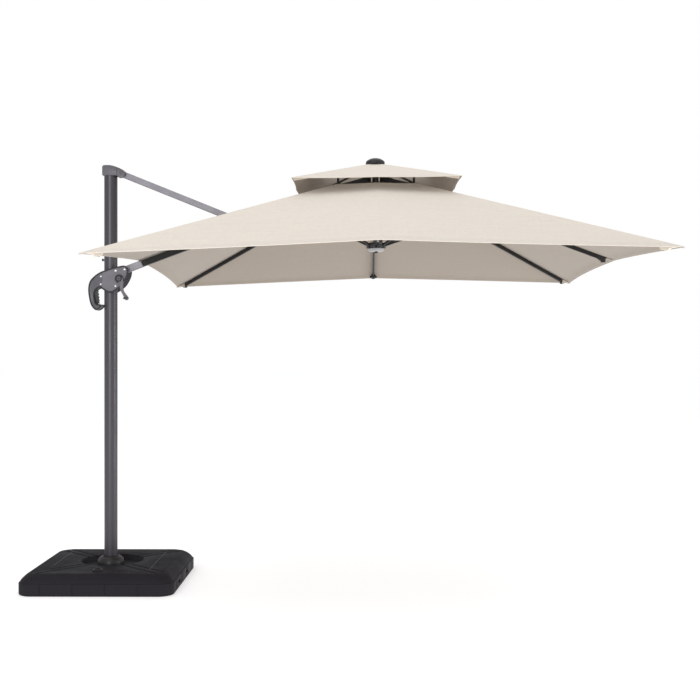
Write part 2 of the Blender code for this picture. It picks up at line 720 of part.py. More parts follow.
def housing_inner(x):
    """Half width of the room inside the housing at x."""
    share = min(max((-0.0475 - x) / 0.004, 0.0), 1.0)
    return HOUSING_INNER + (GAP - HOUSING_INNER) * share


def make_housing(name, side):
    """One half of the housing. side is -1 for the near half and 1 for the far one."""
    outline = smooth_outline(HOUSING_OUTLINE, 2)
    bm = bmesh.new()
    bm.from_mesh(plate_mesh(name, outline, 0.0, 1.0))
    for x in (-0.102, -0.081, -0.060, -0.0515, -0.0475, -0.040):
        geometry = bm.verts[:] + bm.edges[:] + bm.faces[:]
        bmesh.ops.bisect_plane(bm, geom=geometry, plane_co=(x, 0, 0), plane_no=(1, 0, 0))
    for vert in bm.verts:
        reach = housing_outer(vert.co.x) if vert.co.y > 0.5 else housing_inner(vert.co.x)
        vert.co.y = side * reach
    bmesh.ops.translate(bm, vec=(-ARM_PIN_LOW[0], 0, -ARM_PIN_LOW[1]), verts=bm.verts)
    obj = add_object(name, mesh_from(bm, name), "housing_plastic",
                     (ARM_PIN_LOW[0], 0, ARM_PIN_LOW[1]))
    hole = cylinder_along_y(f"{name}_pin", 0.0053, -0.09, 0.09, *ARM_PIN_LOW)
    cut(obj, cutter(f"{name}_pin_bore", hole))
    if side < 0:
        shaft = cylinder_along_y("shaft_hole", 0.0085, -0.09, 0.0, *CRANK_XZ)
        cut(obj, cutter("crank_shaft_bore", shaft))


def make_handle():
    make_housing("housing_near", -1)
    make_housing("housing_far", 1)
    sleeve = [
        (SLEEVE_BORE, SLEEVE_TOP), (SLEEVE_RADIUS, SLEEVE_TOP),
        (SLEEVE_RADIUS, SLEEVE_LOW), (SLEEVE_BORE, SLEEVE_LOW),
    ]
    turned("slide_sleeve", sleeve, "black_plastic", closed=True, steps=40)
    pin("arm_pin_low", ARM_PIN_LOW, HOUSING_HALF - 0.002)
    for number, (x, z) in enumerate(SCREWS, 1):
        head = turned(f"housing_screw_{number}", [
            (0, 0.0032), (0.0035, 0.0029), (0.0062, 0.0017), (0.0075, 0.0), (0, 0.0),
        ], "bright_steel", (x, -housing_outer(x + 0.0075) - 2 * GAP, z), 16)
        lean = 0.0 if x > -0.04 else math.atan((HOUSING_HALF - GRIP_HALF) / 0.062)
        head.rotation_euler = Matrix.Rotation(math.pi / 2, 3, "X").to_euler()
        if lean:
            head.rotation_euler = (
                Matrix.Rotation(-lean, 3, "Z") @ Matrix.Rotation(math.pi / 2, 3, "X")
            ).to_euler()
            head.location.y = -housing_outer(x) - 2 * GAP


def make_trigger():
    """The release lever inside the hooked grip, with four finger scallops."""
    top, bottom, waves = 1.8330, 1.7490, 4
    outline = [(-0.0955, 1.8225), (-0.0985, 1.8060), (-0.0955, 1.7820), (-0.0905, 1.7600),
               (-0.0830, bottom)]
    steps = 16
    for i in range(steps + 1):
        share = i / steps
        z = bottom + (top - 0.006 - bottom) * share
        x = -0.0725 - 0.0085 * share + 0.0026 * math.cos(2 * math.pi * waves * share)
        outline.append((x, z))
    outline += [(-0.0835, top), (-0.0885, top - 0.001)]
    shifted = [(x - TRIGGER_PIN[0], z - TRIGGER_PIN[1]) for x, z in outline]
    plate("trigger", shifted, 0.013, "black_plastic", (TRIGGER_PIN[0], 0, TRIGGER_PIN[1]))


def make_crank():
    """The crank: a hub on the near side, a curved arm, a turning knob and a cord drum."""
    x0, z0 = CRANK_XZ
    knob = (KNOB_XZ[0] - x0, KNOB_XZ[1] - z0)
    hub = arc((0, 0), 0.0205, 75, 255, 12)
    inner = [(0.004, -0.030), (0.0060, -0.050), (0.0115, -0.075), (0.0240, -0.098)]
    end = arc(knob, 0.0130, 190, 380, 8)
    outer = [(0.0330, -0.080), (0.0265, -0.050), (0.0300, -0.020), (0.0240, 0.006)]
    outline = smooth_outline(hub + inner + end + outer, 1)
    y_low, y_high = -HOUSING_HALF - 0.0165, -HOUSING_HALF - 0.0065
    arm = add_object("crank_arm", plate_mesh("crank_arm", outline, y_low, y_high),
                     "housing_plastic", (x0, 0, z0))
    bevelled(arm, 0.0015, 1, 60)
    shaft = cylinder_along_y("shaft", 0.0080, y_high - 0.004, -0.0300, x0, z0)
    cut(arm, cutter("crank_shaft", shaft), "UNION")
    grip = turned("crank_knob", [
        (0, 0.036), (0.009, 0.036), (0.0145, 0.030), (0.0150, 0.024), (0.0110, 0.010),
        (0.0120, 0.0005), (0, 0.0005),
    ], "black_plastic", (KNOB_XZ[0], y_low, KNOB_XZ[1]), 20)
    grip.rotation_euler = (math.pi / 2, 0, 0)
    drum = turned("cord_drum", [
        (0, 0.0295), (0.0150, 0.0295), (0.0150, 0.0265), (0.0100, 0.0265),
        (0.0100, -0.0265), (0.0150, -0.0265), (0.0150, -0.0295), (0, -0.0295),
    ], "black_plastic", (x0, 0, z0), 24)
    drum.rotation_euler = (math.pi / 2, 0, 0)


def set_canopy_tilt():
    """Tilt the crown and all it carries on the spine, a little up away from the mast."""
    crown = Vector((CANOPY_X, 0, RIB_PIN_Z))
    tilt_axis = bpy.data.objects.new("canopy_tilt", None)
    PARTS.objects.link(tilt_axis)
    tilt_axis.location = crown
    tilt_axis.rotation_euler = (0, -CANOPY_TILT, 0)
    starts = ("crown_", "finial", "rib_", "strut_", "vent_rib_", "runner_", "canopy_")
    for obj in [*PARTS.objects, *CUTTERS.objects]:
        stays = obj is tilt_axis or obj.name in ("crown_beam_notch", "canopy_slit")
        if obj.name.startswith(starts) and not stays:
            obj.parent = tilt_axis
            obj.matrix_parent_inverse = Matrix.Translation(-crown)


def make_all():
    make_tank()
    make_filler_cap()
    make_cross_base()
    make_foot_collar()
    make_mast()
    make_mast_cap()
    make_back_knob()
    make_upper_arm()
    make_lower_arm()
    make_spine()
    make_arm_bracket()
    make_crown()
    for corner, ribs in ((False, SIDE_RIBS), (True, CORNER_RIBS)):
        for name, azimuth in ribs.items():
            make_rib(name, azimuth, corner)
            make_strut(name.replace("rib", "strut"), azimuth, corner)
            if corner:
                make_vent_rib(name.replace("rib", "vent_rib"), azimuth)
    make_runner()
    make_main_canopy()
    make_top_canopy()
    make_handle()
    make_trigger()
    make_crank()
    set_canopy_tilt()


clear_scene()
PARTS = new_collection("patio_umbrella")
CUTTERS = new_collection("cutters")
make_all()
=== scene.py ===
"""Looks of the side-arm patio umbrella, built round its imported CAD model."""
import json
import math

import bmesh
import bpy
from mathutils import Matrix, Vector


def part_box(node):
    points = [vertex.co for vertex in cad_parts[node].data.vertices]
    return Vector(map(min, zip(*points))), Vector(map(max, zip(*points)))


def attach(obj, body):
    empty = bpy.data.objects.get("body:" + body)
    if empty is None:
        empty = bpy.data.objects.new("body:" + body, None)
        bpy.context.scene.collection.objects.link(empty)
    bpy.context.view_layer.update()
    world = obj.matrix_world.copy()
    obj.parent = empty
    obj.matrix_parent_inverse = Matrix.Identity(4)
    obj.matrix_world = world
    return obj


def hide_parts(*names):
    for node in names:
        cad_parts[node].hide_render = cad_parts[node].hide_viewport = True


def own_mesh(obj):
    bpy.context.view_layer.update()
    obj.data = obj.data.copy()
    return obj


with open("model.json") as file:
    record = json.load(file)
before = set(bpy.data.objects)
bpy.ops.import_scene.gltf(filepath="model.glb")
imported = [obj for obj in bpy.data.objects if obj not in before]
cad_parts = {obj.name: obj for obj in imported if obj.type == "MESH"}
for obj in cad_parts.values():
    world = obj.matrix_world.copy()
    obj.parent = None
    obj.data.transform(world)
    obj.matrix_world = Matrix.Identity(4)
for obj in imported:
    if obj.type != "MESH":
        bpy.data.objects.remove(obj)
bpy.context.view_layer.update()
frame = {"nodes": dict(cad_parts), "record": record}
RECORD = frame["record"]
NODE_SLOT = {part["node"]: part["material_slot"] for part in RECORD["subparts"]}

# --- places, from the CAD nodes ---------------------------
CANOPY_X = 1.669
MAST_LOW, MAST_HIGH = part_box("mast")
MAST_RADIUS = MAST_HIGH.x
TANK_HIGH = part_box("base_tank")[1]

# --- canopy dimensions, the same as the CAD solid's -------
CANOPY_HALF = 1.500
VENT_HALF = 0.240
HEM_MID_Z = 2.003
HEM_MAST_Z = 2.0345
HEM_CORNER_Z = 1.950
VENT_MID_Z = 2.484
VENT_CORNER_Z = 2.465
TOP_HALF = 0.500
TOP_CORNER_Z = 2.468
TOP_APEX_Z = 2.630

# --- cloth details, finer than the CAD solid --------------
CLOTH = 0.0014
HEM_CLOTH = 0.0030
HEM_BAND = 0.025
HEM_STEP = 0.0012
SAG = 0.012
SCALLOP = 0.030
TOP_SAG = 0.004
TOP_SCALLOP = 0.007
VENT_BOW = 0.050
VENT_MAST_LIFT = 0.006
TOP_HOLE = 0.028
SLIT_OUT = (0.764, 0.954)
SLIT_SHARE = 0.034
STRIP_SHARE = 0.055

# --- frame dimensions, the same as the CAD solids' --------
RIB_RING = 0.055
RIB_PIN_Z = 2.490
RUNNER_PIN_Z = 2.112
SIDE_FOLD = 66.0
CORNER_FOLD = 70.77
RIB_HEIGHT = 0.025
RIB_HALF = 0.006
RIB_REACH = {False: 1.440, True: 2.030}  # side ribs, corner ribs
RIB_SPACE = {False: 0.001, True: 0.004}
PIN_DROP = 0.020
STRUT_WIDTH = 0.008
CANOPY_TILT = math.radians(0.56)
CROWN = Vector((CANOPY_X, 0, RIB_PIN_Z))
TILTED = (Matrix.Translation(CROWN) @ Matrix.Rotation(-CANOPY_TILT, 4, "Y")
          @ Matrix.Translation(-CROWN))

SIDE_RIBS = {"rib_right": 0, "rib_far": 90, "rib_near": 270}
CORNER_RIBS = {"rib_far_right": 45, "rib_far_left": 135, "rib_near_left": 225, "rib_near_right": 315}
ARM_PIN_TOP = (0.075, 2.563)
ARM_PIN_LOW = (0.075, 1.962)
CRANK_XZ = (0.065, 1.901)
KNOB_XZ = (0.1144, 1.7786)


# --- node helpers -----------------------------------------
class Paint:
    """One material under construction: its tree, its shader and short ways to add nodes."""

    def __init__(self, name, colour, roughness, metallic=0.0):
        self.material = bpy.data.materials.new(name)
        self.material.use_nodes = True
        self.material.diffuse_color = (*colour, 1.0)
        self.tree = self.material.node_tree
        self.shader = self.tree.nodes["Principled BSDF"]
        self.shader.inputs["Base Color"].default_value = (*colour, 1.0)
        self.shader.inputs["Roughness"].default_value = roughness
        self.shader.inputs["Metallic"].default_value = metallic
        self.place = self.tree.nodes.new("ShaderNodeTexCoord").outputs["Object"]

    def node(self, kind, **inputs):
        made = self.tree.nodes.new(kind)
        for key, value in inputs.items():
            self.feed(made.inputs[key.replace("_", " ")], value)
        return made

    def feed(self, socket, value):
        if isinstance(value, bpy.types.NodeSocket):
            self.tree.links.new(value, socket)
        else:
            socket.default_value = value

    def stretched(self, scale):
        return self.node("ShaderNodeMapping", Vector=self.place, Scale=scale).outputs["Vector"]

    def noise(self, scale, detail=2.0, rough=0.5, vector=None):
        made = self.node("ShaderNodeTexNoise", Vector=vector or self.place, Scale=scale, Detail=detail,
                         Roughness=rough)
        return made.outputs["Fac"]

    def ranged(self, value, low, high, start=0.3, stop=0.7):
        made = self.node("ShaderNodeMapRange", Value=value, From_Min=start, From_Max=stop, To_Min=low,
                         To_Max=high)
        return made.outputs["Result"]

    def mixed(self, share, first, second):
        made = self.tree.nodes.new("ShaderNodeMix")
        made.data_type = "RGBA"
        self.feed(made.inputs["Factor"], share)
        self.feed(made.inputs["A"], first)
        self.feed(made.inputs["B"], second)
        return made.outputs["Result"]

    def maths(self, operation, first, second):
        made = self.tree.nodes.new("ShaderNodeMath")
        made.operation = operation
        self.feed(made.inputs[0], first)
        self.feed(made.inputs[1], second)
        return made.outputs["Value"]

    def bump(self, height, strength, distance, normal=None):
        made = self.node("ShaderNodeBump", Height=height, Strength=strength, Distance=distance)
        if normal:
            self.feed(made.inputs["Normal"], normal)
        return made.outputs["Normal"]

    def use(self, **sockets):
        for key, value in sockets.items():
            self.feed(self.shader.inputs[key.replace("_", " ")], value)


def shade(colour, factor):
    return (*(min(channel * factor, 1.0) for channel in colour), 1.0)


def coated(name, colour, roughness, metallic, grain, depth, patch=0.08):
    """Powder coat or moulded plastic: a fine grain, soft patches and uneven gloss."""
    paint = Paint(name, colour, roughness, metallic)
    patches = paint.noise(9.0, 3.0)
    fine = paint.noise(grain, 2.0, 0.6)
    speck = paint.mixed(paint.ranged(fine, 0.0, 1.0, 0.35, 0.65), shade(colour, 1 - patch),
                        shade(colour, 1 + patch))
    tone = paint.mixed(paint.ranged(patches, 0.0, 0.55), speck, shade(colour, 1 + 0.8 * patch))
    paint.use(Base_Color=tone)
    paint.use(Roughness=paint.ranged(patches, roughness - 0.05, roughness + 0.07))
    paint.use(Normal=paint.bump(fine, 0.35, depth))
    return paint.material


# Darker tone painted on the tank where it faces up: painted shade.
UP_FACING_SHADE = (0.0160, 0.0142, 0.0172, 1.0)
YARN_PITCH = 0.0011


def top_shaded_plastic(name, colour):
    """The tank's blow-moulded plastic: leather-fine texture, and painted shade, mottled, where it faces up.
    """
    paint = Paint(name, colour, 0.55)
    skin = paint.noise(420.0, 4.0, 0.65)
    swirl = paint.noise(6.0, 5.0, 0.6)
    facing = paint.tree.nodes.new("ShaderNodeNewGeometry").outputs["Normal"]
    up = paint.node("ShaderNodeSeparateXYZ", Vector=facing).outputs["Z"]
    # Painted shade: darker where the surface faces up, mottled by the swirl noise.
    top_shade = paint.maths("MULTIPLY", paint.ranged(up, 0.0, 0.5, 0.5, 1.0), paint.ranged(swirl, 0.15, 1.0))
    paint.use(Base_Color=paint.mixed(top_shade, shade(colour, 1.0), UP_FACING_SHADE))
    paint.use(Roughness=paint.ranged(swirl, 0.48, 0.64))
    waves = paint.bump(paint.noise(14.0, 3.0), 0.55, 0.005)
    paint.use(Normal=paint.bump(skin, 0.8, 0.0012, waves))
    paint.use(Specular_IOR_Level=0.05)
    return paint.material


def bright_metal(name, colour):
    paint = Paint(name, colour, 0.24, 1.0)
    streaks = paint.noise(60.0, 3.0, 0.6, paint.stretched((1.0, 1.0, 18.0)))
    paint.use(Roughness=paint.ranged(streaks, 0.16, 0.34))
    paint.use(Normal=paint.bump(streaks, 0.12, 0.0002))
    return paint.material


def woven(name, colour):
    """Plain-woven polyester: two crossed yarn waves, slubs and slow colour drift."""
    paint = Paint(name, colour, 0.86)
    yarn = 2 * math.pi / (20 * YARN_PITCH)
    crossed = []
    for direction in ("X", "Y"):
        wave = paint.node("ShaderNodeTexWave", Vector=paint.place, Scale=yarn, Distortion=0.6)
        wave.bands_direction = direction
        crossed.append(wave.outputs["Fac"])
    weave = paint.maths("MAXIMUM", *crossed)
    slub_x = paint.noise(55.0, 3.0, 0.6, paint.stretched((0.06, 1.0, 1.0)))
    slub_y = paint.noise(55.0, 3.0, 0.6, paint.stretched((1.0, 0.06, 1.0)))
    slubs = paint.maths("ADD", slub_x, slub_y)
    drift = paint.noise(2.2, 3.0)
    thickness = paint.ranged(slubs, 0.0, 1.0, 0.75, 1.25)
    thread = paint.mixed(thickness, shade(colour, 0.955), shade(colour, 1.035))
    paint.use(Base_Color=paint.mixed(paint.ranged(drift, 0.0, 0.4), thread, shade(colour, 0.965)))
    paint.use(Roughness=paint.ranged(slubs, 0.80, 0.92, 0.75, 1.25))
    soft = paint.bump(slubs, 0.22, 0.0012)
    paint.use(Normal=paint.bump(weave, 0.16, 0.0003, soft))
    paint.use(Sheen_Weight=0.18, Sheen_Roughness=0.5)
    return paint.material


MATERIALS = {
    "tank_plastic": top_shaded_plastic("tank_plastic", (0.0265, 0.0245, 0.0290)),
    "anthracite_paint": coated("anthracite_paint", (0.088, 0.082, 0.094), 0.36, 0.65, 900.0, 0.00004),
    "grey_paint": coated("grey_paint", (0.215, 0.208, 0.230), 0.42, 0.45, 420.0, 0.0004, 0.22),
    "housing_plastic": coated("housing_plastic", (0.125, 0.119, 0.136), 0.40, 0.10, 700.0, 0.0003),
    "black_paint": coated("black_paint", (0.0075, 0.0070, 0.0075), 0.52, 0.0, 900.0, 0.0002, 0.15),
    "black_plastic": coated("black_plastic", (0.016, 0.015, 0.017), 0.44, 0.0, 800.0, 0.0003, 0.15),
    "light_plastic": coated("light_plastic", (0.42, 0.41, 0.42), 0.45, 0.0, 700.0, 0.0003),
    "bright_steel": bright_metal("bright_steel", (0.86, 0.86, 0.87)),
    "canopy_cloth": woven("canopy_cloth", (0.880, 0.795, 0.690)),
}
# The canopy's underside: the same cloth painted darker, as painted shade.
SHADED_UNDERSIDE = woven("canopy_underside_painted_shade", (0.352, 0.298, 0.245))
# Webbing tone for the straps, also put on the far corner pockets as painted shade.
WEBBING_AND_POCKET_SHADE = woven("webbing_and_pocket_shade", (0.520, 0.450, 0.375))
# The tank seams' pale tone: a painted highlight along a real raised seam.
SEAM_HIGHLIGHT = coated("seam_line", (0.150, 0.142, 0.145), 0.60, 0.0, 500.0, 0.0003)


# --- mesh helpers -----------------------------------------
SHARP_ANGLE = math.radians(34)
WELD = 0.00002


def new_piece(name, mesh, slot, body, looks=None, location=(0, 0, 0)):
    """A visible piece that rides a body. It wears its slot's material unless looks says otherwise."""
    obj = bpy.data.objects.new(name, mesh)
    bpy.context.scene.collection.objects.link(obj)
    obj.location = location
    for look in looks or [MATERIALS[slot]]:
        mesh.materials.append(look)
    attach(obj, body)
    return obj


def mesh_from(bm, name, sharp=SHARP_ANGLE, weld=0.0):
    if weld:
        bmesh.ops.remove_doubles(bm, verts=bm.verts, dist=weld)
    bmesh.ops.recalc_face_normals(bm, faces=bm.faces)
    mesh = bpy.data.meshes.new(name)
    bm.to_mesh(mesh)
    bm.free()
    mesh.shade_smooth()
    mesh.set_sharp_from_angle(angle=sharp)
    return mesh


def rounded(obj, width, segments=2, angle=35):
    bevel = obj.modifiers.new("Bevel", "BEVEL")
    bevel.width = width
    bevel.segments = segments
    bevel.limit_method = "ANGLE"
    bevel.angle_limit = math.radians(angle)
    bevel.harden_normals = True
    return obj


def turned_mesh(name, profile, steps, closed=False):
    """Turn a profile of (radius, z) about Z."""
    bm = bmesh.new()
    verts = [bm.verts.new((radius, 0, z)) for radius, z in profile]
    pairs = list(zip(verts, verts[1:])) + ([(verts[-1], verts[0])] if closed else [])
    edges = [bm.edges.new(pair) for pair in pairs]
    bmesh.ops.spin(bm, geom=verts + edges, cent=(0, 0, 0), axis=(0, 0, 1), angle=2 * math.pi,
                   steps=steps, use_merge=True)
    return mesh_from(bm, name, weld=WELD)


def plate_mesh(name, outline, low, high):
    """An outline in (x, z), made a solid between two Y planes."""
    bm = bmesh.new()
    ring = [bm.verts.new((x, low, z)) for x, z in outline]
    face = bm.faces.new(ring)
    moved = bmesh.ops.extrude_face_region(bm, geom=[face])
    verts = [v for v in moved["geom"] if isinstance(v, bmesh.types.BMVert)]
    bmesh.ops.translate(bm, vec=(0, high - low, 0), verts=verts)
    return mesh_from(bm, name)


def join_rings(bm, rings, closed=False):
    """Faces between neighbouring rings, closed by two end faces or back onto the first ring."""
    if not closed:
        bm.faces.new(rings[0])
        bm.faces.new(rings[-1])
    for first, second in zip(rings, rings[1:] + (rings[:1] if closed else [])):
        for i in range(len(first)):
            j = (i + 1) % len(first)
            bm.faces.new((first[i], first[j], second[j], second[i]))


def arc(centre, radius, start, stop, steps):
    points = []
    for i in range(steps + 1):
        angle = math.radians(start + (stop - start) * i / steps)
        points.append((centre[0] + radius * math.cos(angle), centre[1] + radius * math.sin(angle)))
    return points


def wire(name, points, radius, slot, body, closed=False, sides=10, look=None):
    """A round bead swept along points."""
    points = [Vector(point) for point in points]
    count = len(points)
    bm = bmesh.new()
    rows = []
    across = None
    for i, spot in enumerate(points):
        ahead = points[(i + 1) % count] if closed or i + 1 < count else spot
        behind = points[i - 1] if closed or i else spot
        along = (ahead - behind).normalized()
        across = along.orthogonal() if across is None else across - along * across.dot(along)
        across.normalize()
        up = along.cross(across)
        turns = [2 * math.pi * k / sides for k in range(sides)]
        rows.append([bm.verts.new(spot + (across * math.cos(t) + up * math.sin(t)) * radius) for t in turns])
    join_rings(bm, rows, closed)
    new_piece(name, mesh_from(bm, name, math.radians(60)), slot, body, [look] if look else None)


# --- the CAD nodes that stay ------------------------------
def smoothing_group():
    """Welds a CAD mesh and shades it smooth except along its real edges."""
    group = bpy.data.node_groups.new("cad_smoothing", "GeometryNodeTree")
    group.interface.new_socket("Geometry", in_out="INPUT", socket_type="NodeSocketGeometry")
    group.interface.new_socket("Geometry", in_out="OUTPUT", socket_type="NodeSocketGeometry")
    start = group.nodes.new("NodeGroupInput")
    weld = group.nodes.new("GeometryNodeMergeByDistance")
    weld.inputs["Distance"].default_value = WELD
    angle = group.nodes.new("GeometryNodeInputMeshEdgeAngle")
    compare = group.nodes.new("ShaderNodeMath")
    compare.operation = "GREATER_THAN"
    compare.inputs[1].default_value = SHARP_ANGLE
    normals = group.nodes.new("GeometryNodeSetMeshNormal")
    normals.inputs["Remove Custom"].default_value = True
    normals.inputs["Face Sharpness"].default_value = False
    stop = group.nodes.new("NodeGroupOutput")
    group.links.new(start.outputs[0], weld.inputs["Geometry"])
    group.links.new(weld.outputs["Geometry"], normals.inputs["Mesh"])
    group.links.new(angle.outputs["Unsigned Angle"], compare.inputs[0])
    group.links.new(compare.outputs["Value"], normals.inputs["Edge Sharpness"])
    group.links.new(normals.outputs["Mesh"], stop.inputs[0])
    return group


def dress_cad_nodes():
    """Every CAD node gets its slot's material and the smoothing."""
    group = smoothing_group()
    for name, obj in frame["nodes"].items():
        for material_slot in obj.material_slots:
            material_slot.material = MATERIALS[NODE_SLOT[name]]
        smooth = obj.modifiers.new("Smoothing", "NODES")
        smooth.node_group = group


# --- canopy -----------------------------------------------
def spread(low, high, count):
    return [low + (high - low) * i / (count - 1) for i in range(count)]


def cloth_rows(steps, band):
    """Rows from the vent (0) to the hem (1), with a close pair where each hem fold ends."""
    lip = band + HEM_STEP
    return [0.0, band] + spread(lip, 1 - lip, steps) + [1 - band, 1.0]


def row_thickness(part, band):
    return HEM_CLOTH if part <= band + 1e-6 or part >= 1 - band - 1e-6 else CLOTH


def canopy_point(quarter, out, share, height):
    """A point out from the crown in one quarter, share of the way from its mid line to its hip."""
    spot = Matrix.Rotation(math.radians(90 * quarter), 2) @ Vector((out, out * share))
    return TILTED @ Vector((CANOPY_X + spot.x, spot.y, height))


def hip_quarters(azimuth):
    """The two quarters that meet at a corner rib."""
    return azimuth // 90, (azimuth // 90 + 1) % 4


def main_cloth_point(quarter, part, share):
    """A point on the main tier's underside: part runs vent to hem, share side rib to corner."""
    side = abs(share)
    bow = 4 * side * (1 - side)
    hem = CANOPY_HALF - SCALLOP * bow
    vent = VENT_HALF + VENT_BOW * (1 - side ** 1.5)
    out = vent + (hem - vent) * part
    straight = (out - VENT_HALF) / (CANOPY_HALF - VENT_HALF)
    mast_side = quarter == 2
    hem_z = HEM_MAST_Z if mast_side else HEM_MID_Z
    vent_z = VENT_MID_Z + (VENT_MAST_LIFT if mast_side else 0.0)
    middle = vent_z + (hem_z - vent_z) * straight
    corner = VENT_CORNER_Z + (HEM_CORNER_Z - VENT_CORNER_Z) * straight
    return canopy_point(quarter, out, share, middle + (corner - middle) * side - SAG * bow * part)


def top_cloth_point(quarter, part, share):
    """A point on the small top tier's underside, from the finial to its hem."""
    side = abs(share)
    bow = 4 * side * (1 - side)
    out = TOP_HOLE + (TOP_HALF - TOP_SCALLOP * bow - TOP_HOLE) * part
    height = TOP_APEX_Z + (TOP_CORNER_Z - TOP_APEX_Z) * out / TOP_HALF - TOP_SAG * bow * part
    return canopy_point(quarter, out, share, height)


def cloth_piece(name, body, point_at, columns, rows, thickness_at, hole=None):
    """A closed thin sheet through a grid. columns are (quarter, share) pairs, hole leaves cells out."""
    bm = bmesh.new()
    under = [[point_at(quarter, part, share) for quarter, share in columns] for part in rows]
    last_row, last_column = len(rows) - 1, len(columns) - 1
    low, high = [], []
    for i, row in enumerate(under):
        half = thickness_at(rows[i]) - CLOTH
        low_row, high_row = [], []
        for j, spot in enumerate(row):
            along = under[min(i + 1, last_row)][j] - under[max(i - 1, 0)][j]
            across = row[min(j + 1, last_column)] - row[max(j - 1, 0)]
            normal = along.cross(across).normalized()
            if normal.z < 0:
                normal = -normal
            low_row.append(bm.verts.new(spot - normal * half / 2))
            high_row.append(bm.verts.new(spot + normal * (CLOTH + half / 2)))
        low.append(low_row)
        high.append(high_row)
    kept = {(i, j) for i in range(last_row) for j in range(last_column) if not (hole and hole(i, j))}
    for i, j in kept:
        bm.faces.new((low[i][j], low[i + 1][j], low[i + 1][j + 1], low[i][j + 1])).material_index = 1
        bm.faces.new((high[i][j], high[i][j + 1], high[i + 1][j + 1], high[i + 1][j]))
        for (di, dj), (a, b) in (((-1, 0), ((0, 0), (0, 1))), ((1, 0), ((1, 1), (1, 0))),
                                 ((0, -1), ((1, 0), (0, 0))), ((0, 1), ((0, 1), (1, 1)))):
            if (i + di, j + dj) in kept:
                continue
            ends = [(i + a[0], j + a[1]), (i + b[0], j + b[1])]
            bm.faces.new((low[ends[0][0]][ends[0][1]], low[ends[1][0]][ends[1][1]],
                          high[ends[1][0]][ends[1][1]], high[ends[0][0]][ends[0][1]]))
    loose = [v for v in bm.verts if not v.link_faces]
    bmesh.ops.delete(bm, geom=loose, context="VERTS")
    # The underside faces wear the darker copy of the cloth: painted shade.
    looks = [MATERIALS["canopy_cloth"], SHADED_UNDERSIDE]
    return new_piece(name, mesh_from(bm, name, math.radians(40)), "canopy_cloth", body, looks)


def flat_area(point_at, columns, rows):
    """Area of the sheet's underside, for its cut size."""
    total = 0.0
    for (q0, s0), (q1, s1) in zip(columns, columns[1:]):
        for r0, r1 in zip(rows, rows[1:]):
            a, b = point_at(q0, r0, s0), point_at(q1, r0, s1)
            c, d = point_at(q1, r1, s1), point_at(q0, r1, s0)
            total += ((b - a).cross(d - a).length + (b - c).cross(d - c).length) / 2
    return total


def hip_cut(point_at, quarter, share):
    """Width and length of the cloth round a hip when both its halves are laid flat."""
    top, tip = point_at(quarter, 0.0, 1.0), point_at(quarter, 1.0, 1.0)
    hip = (tip - top).normalized()
    sides = [point_at(quarter, part, share) - top for part in (0.0, 1.0)]
    across = max((side - hip * side.dot(hip)).length for side in sides)
    return 2 * across, (tip - top).length - min(0.0, *(side.dot(hip) for side in sides))


def fold_with_rib(obj):
    """Give a cloth sector a mesh of its own."""
    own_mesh(obj)


SLOPE_LENGTH = math.hypot(CANOPY_HALF - VENT_HALF, VENT_MID_Z - HEM_MID_Z)
MAIN_BAND = HEM_BAND / SLOPE_LENGTH
MAIN_ROWS = cloth_rows(20, MAIN_BAND)
HIP_SHARES = [0.5, 0.58, 0.66, 0.74, 0.82, 0.89, 0.945, 0.975, 0.991, 1.0]
SIDE_SHARES = [0.0, 0.006, 0.02, 0.06, 0.12, 0.19, 0.26, 0.34, 0.42, 0.5]


def main_thickness(part):
    return row_thickness(part, MAIN_BAND)


def make_side_sector(name, rib, azimuth):
    """The cloth round one side rib, from mid panel to mid panel."""
    columns = [(azimuth // 90, share) for share in [-s for s in reversed(SIDE_SHARES[1:])] + SIDE_SHARES]
    obj = cloth_piece(name, rib, main_cloth_point, columns, MAIN_ROWS, main_thickness)
    fold_with_rib(obj)
    flat_area(main_cloth_point, columns, MAIN_ROWS)
    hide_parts("canopy_main")


def slit_part(out):
    """Share of the way from vent to hem at a distance out along the spine beam."""
    return (out - VENT_HALF - VENT_BOW) / (CANOPY_HALF - VENT_HALF - VENT_BOW)


def make_mast_sector():
    """The cloth over the spine beam: a strip with the upper arm's slit in it, and a panel on each side."""
    slit = [slit_part(out) for out in SLIT_OUT]
    rows = sorted(row for row in MAIN_ROWS + slit
                  if row in slit or all(abs(row - s) > 0.02 for s in slit))

    def hole(i, j):
        return j in (1, 2) and slit[0] <= rows[i] + 1e-9 and rows[i + 1] <= slit[1] + 1e-9

    outer = [STRIP_SHARE] + [share for share in SIDE_SHARES if share > STRIP_SHARE + 0.01]
    inner = [-STRIP_SHARE, -SLIT_SHARE, 0.0, SLIT_SHARE, STRIP_SHARE]
    for name, shares, cut in (("canopy_mast_strip", inner, hole), ("canopy_mast_near", outer, None),
                              ("canopy_mast_far", [-share for share in reversed(outer)], None)):
        columns = [(2, share) for share in shares]
        obj = cloth_piece(name, "beam", main_cloth_point, columns, rows, main_thickness, cut)
        if not cut:
            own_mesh(obj)
        flat_area(main_cloth_point, columns, rows)
        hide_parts("canopy_main")


def make_corner_sector(name, rib, azimuth):
    """The cloth round one corner rib, from mid panel over the hip to the next mid panel."""
    first, second = hip_quarters(azimuth)
    columns = [(first, share) for share in HIP_SHARES]
    columns += [(second, -share) for share in reversed(HIP_SHARES[:-1])]
    obj = cloth_piece(name, rib, main_cloth_point, columns, MAIN_ROWS, main_thickness)
    fold_with_rib(obj)
    area = flat_area(main_cloth_point, columns, MAIN_ROWS)
    hip_cut(main_cloth_point, first, HIP_SHARES[0])
    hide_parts("canopy_main")


TOP_SLOPE = math.hypot(TOP_HALF, TOP_APEX_Z - TOP_CORNER_Z)
TOP_BAND = 0.020 / TOP_SLOPE


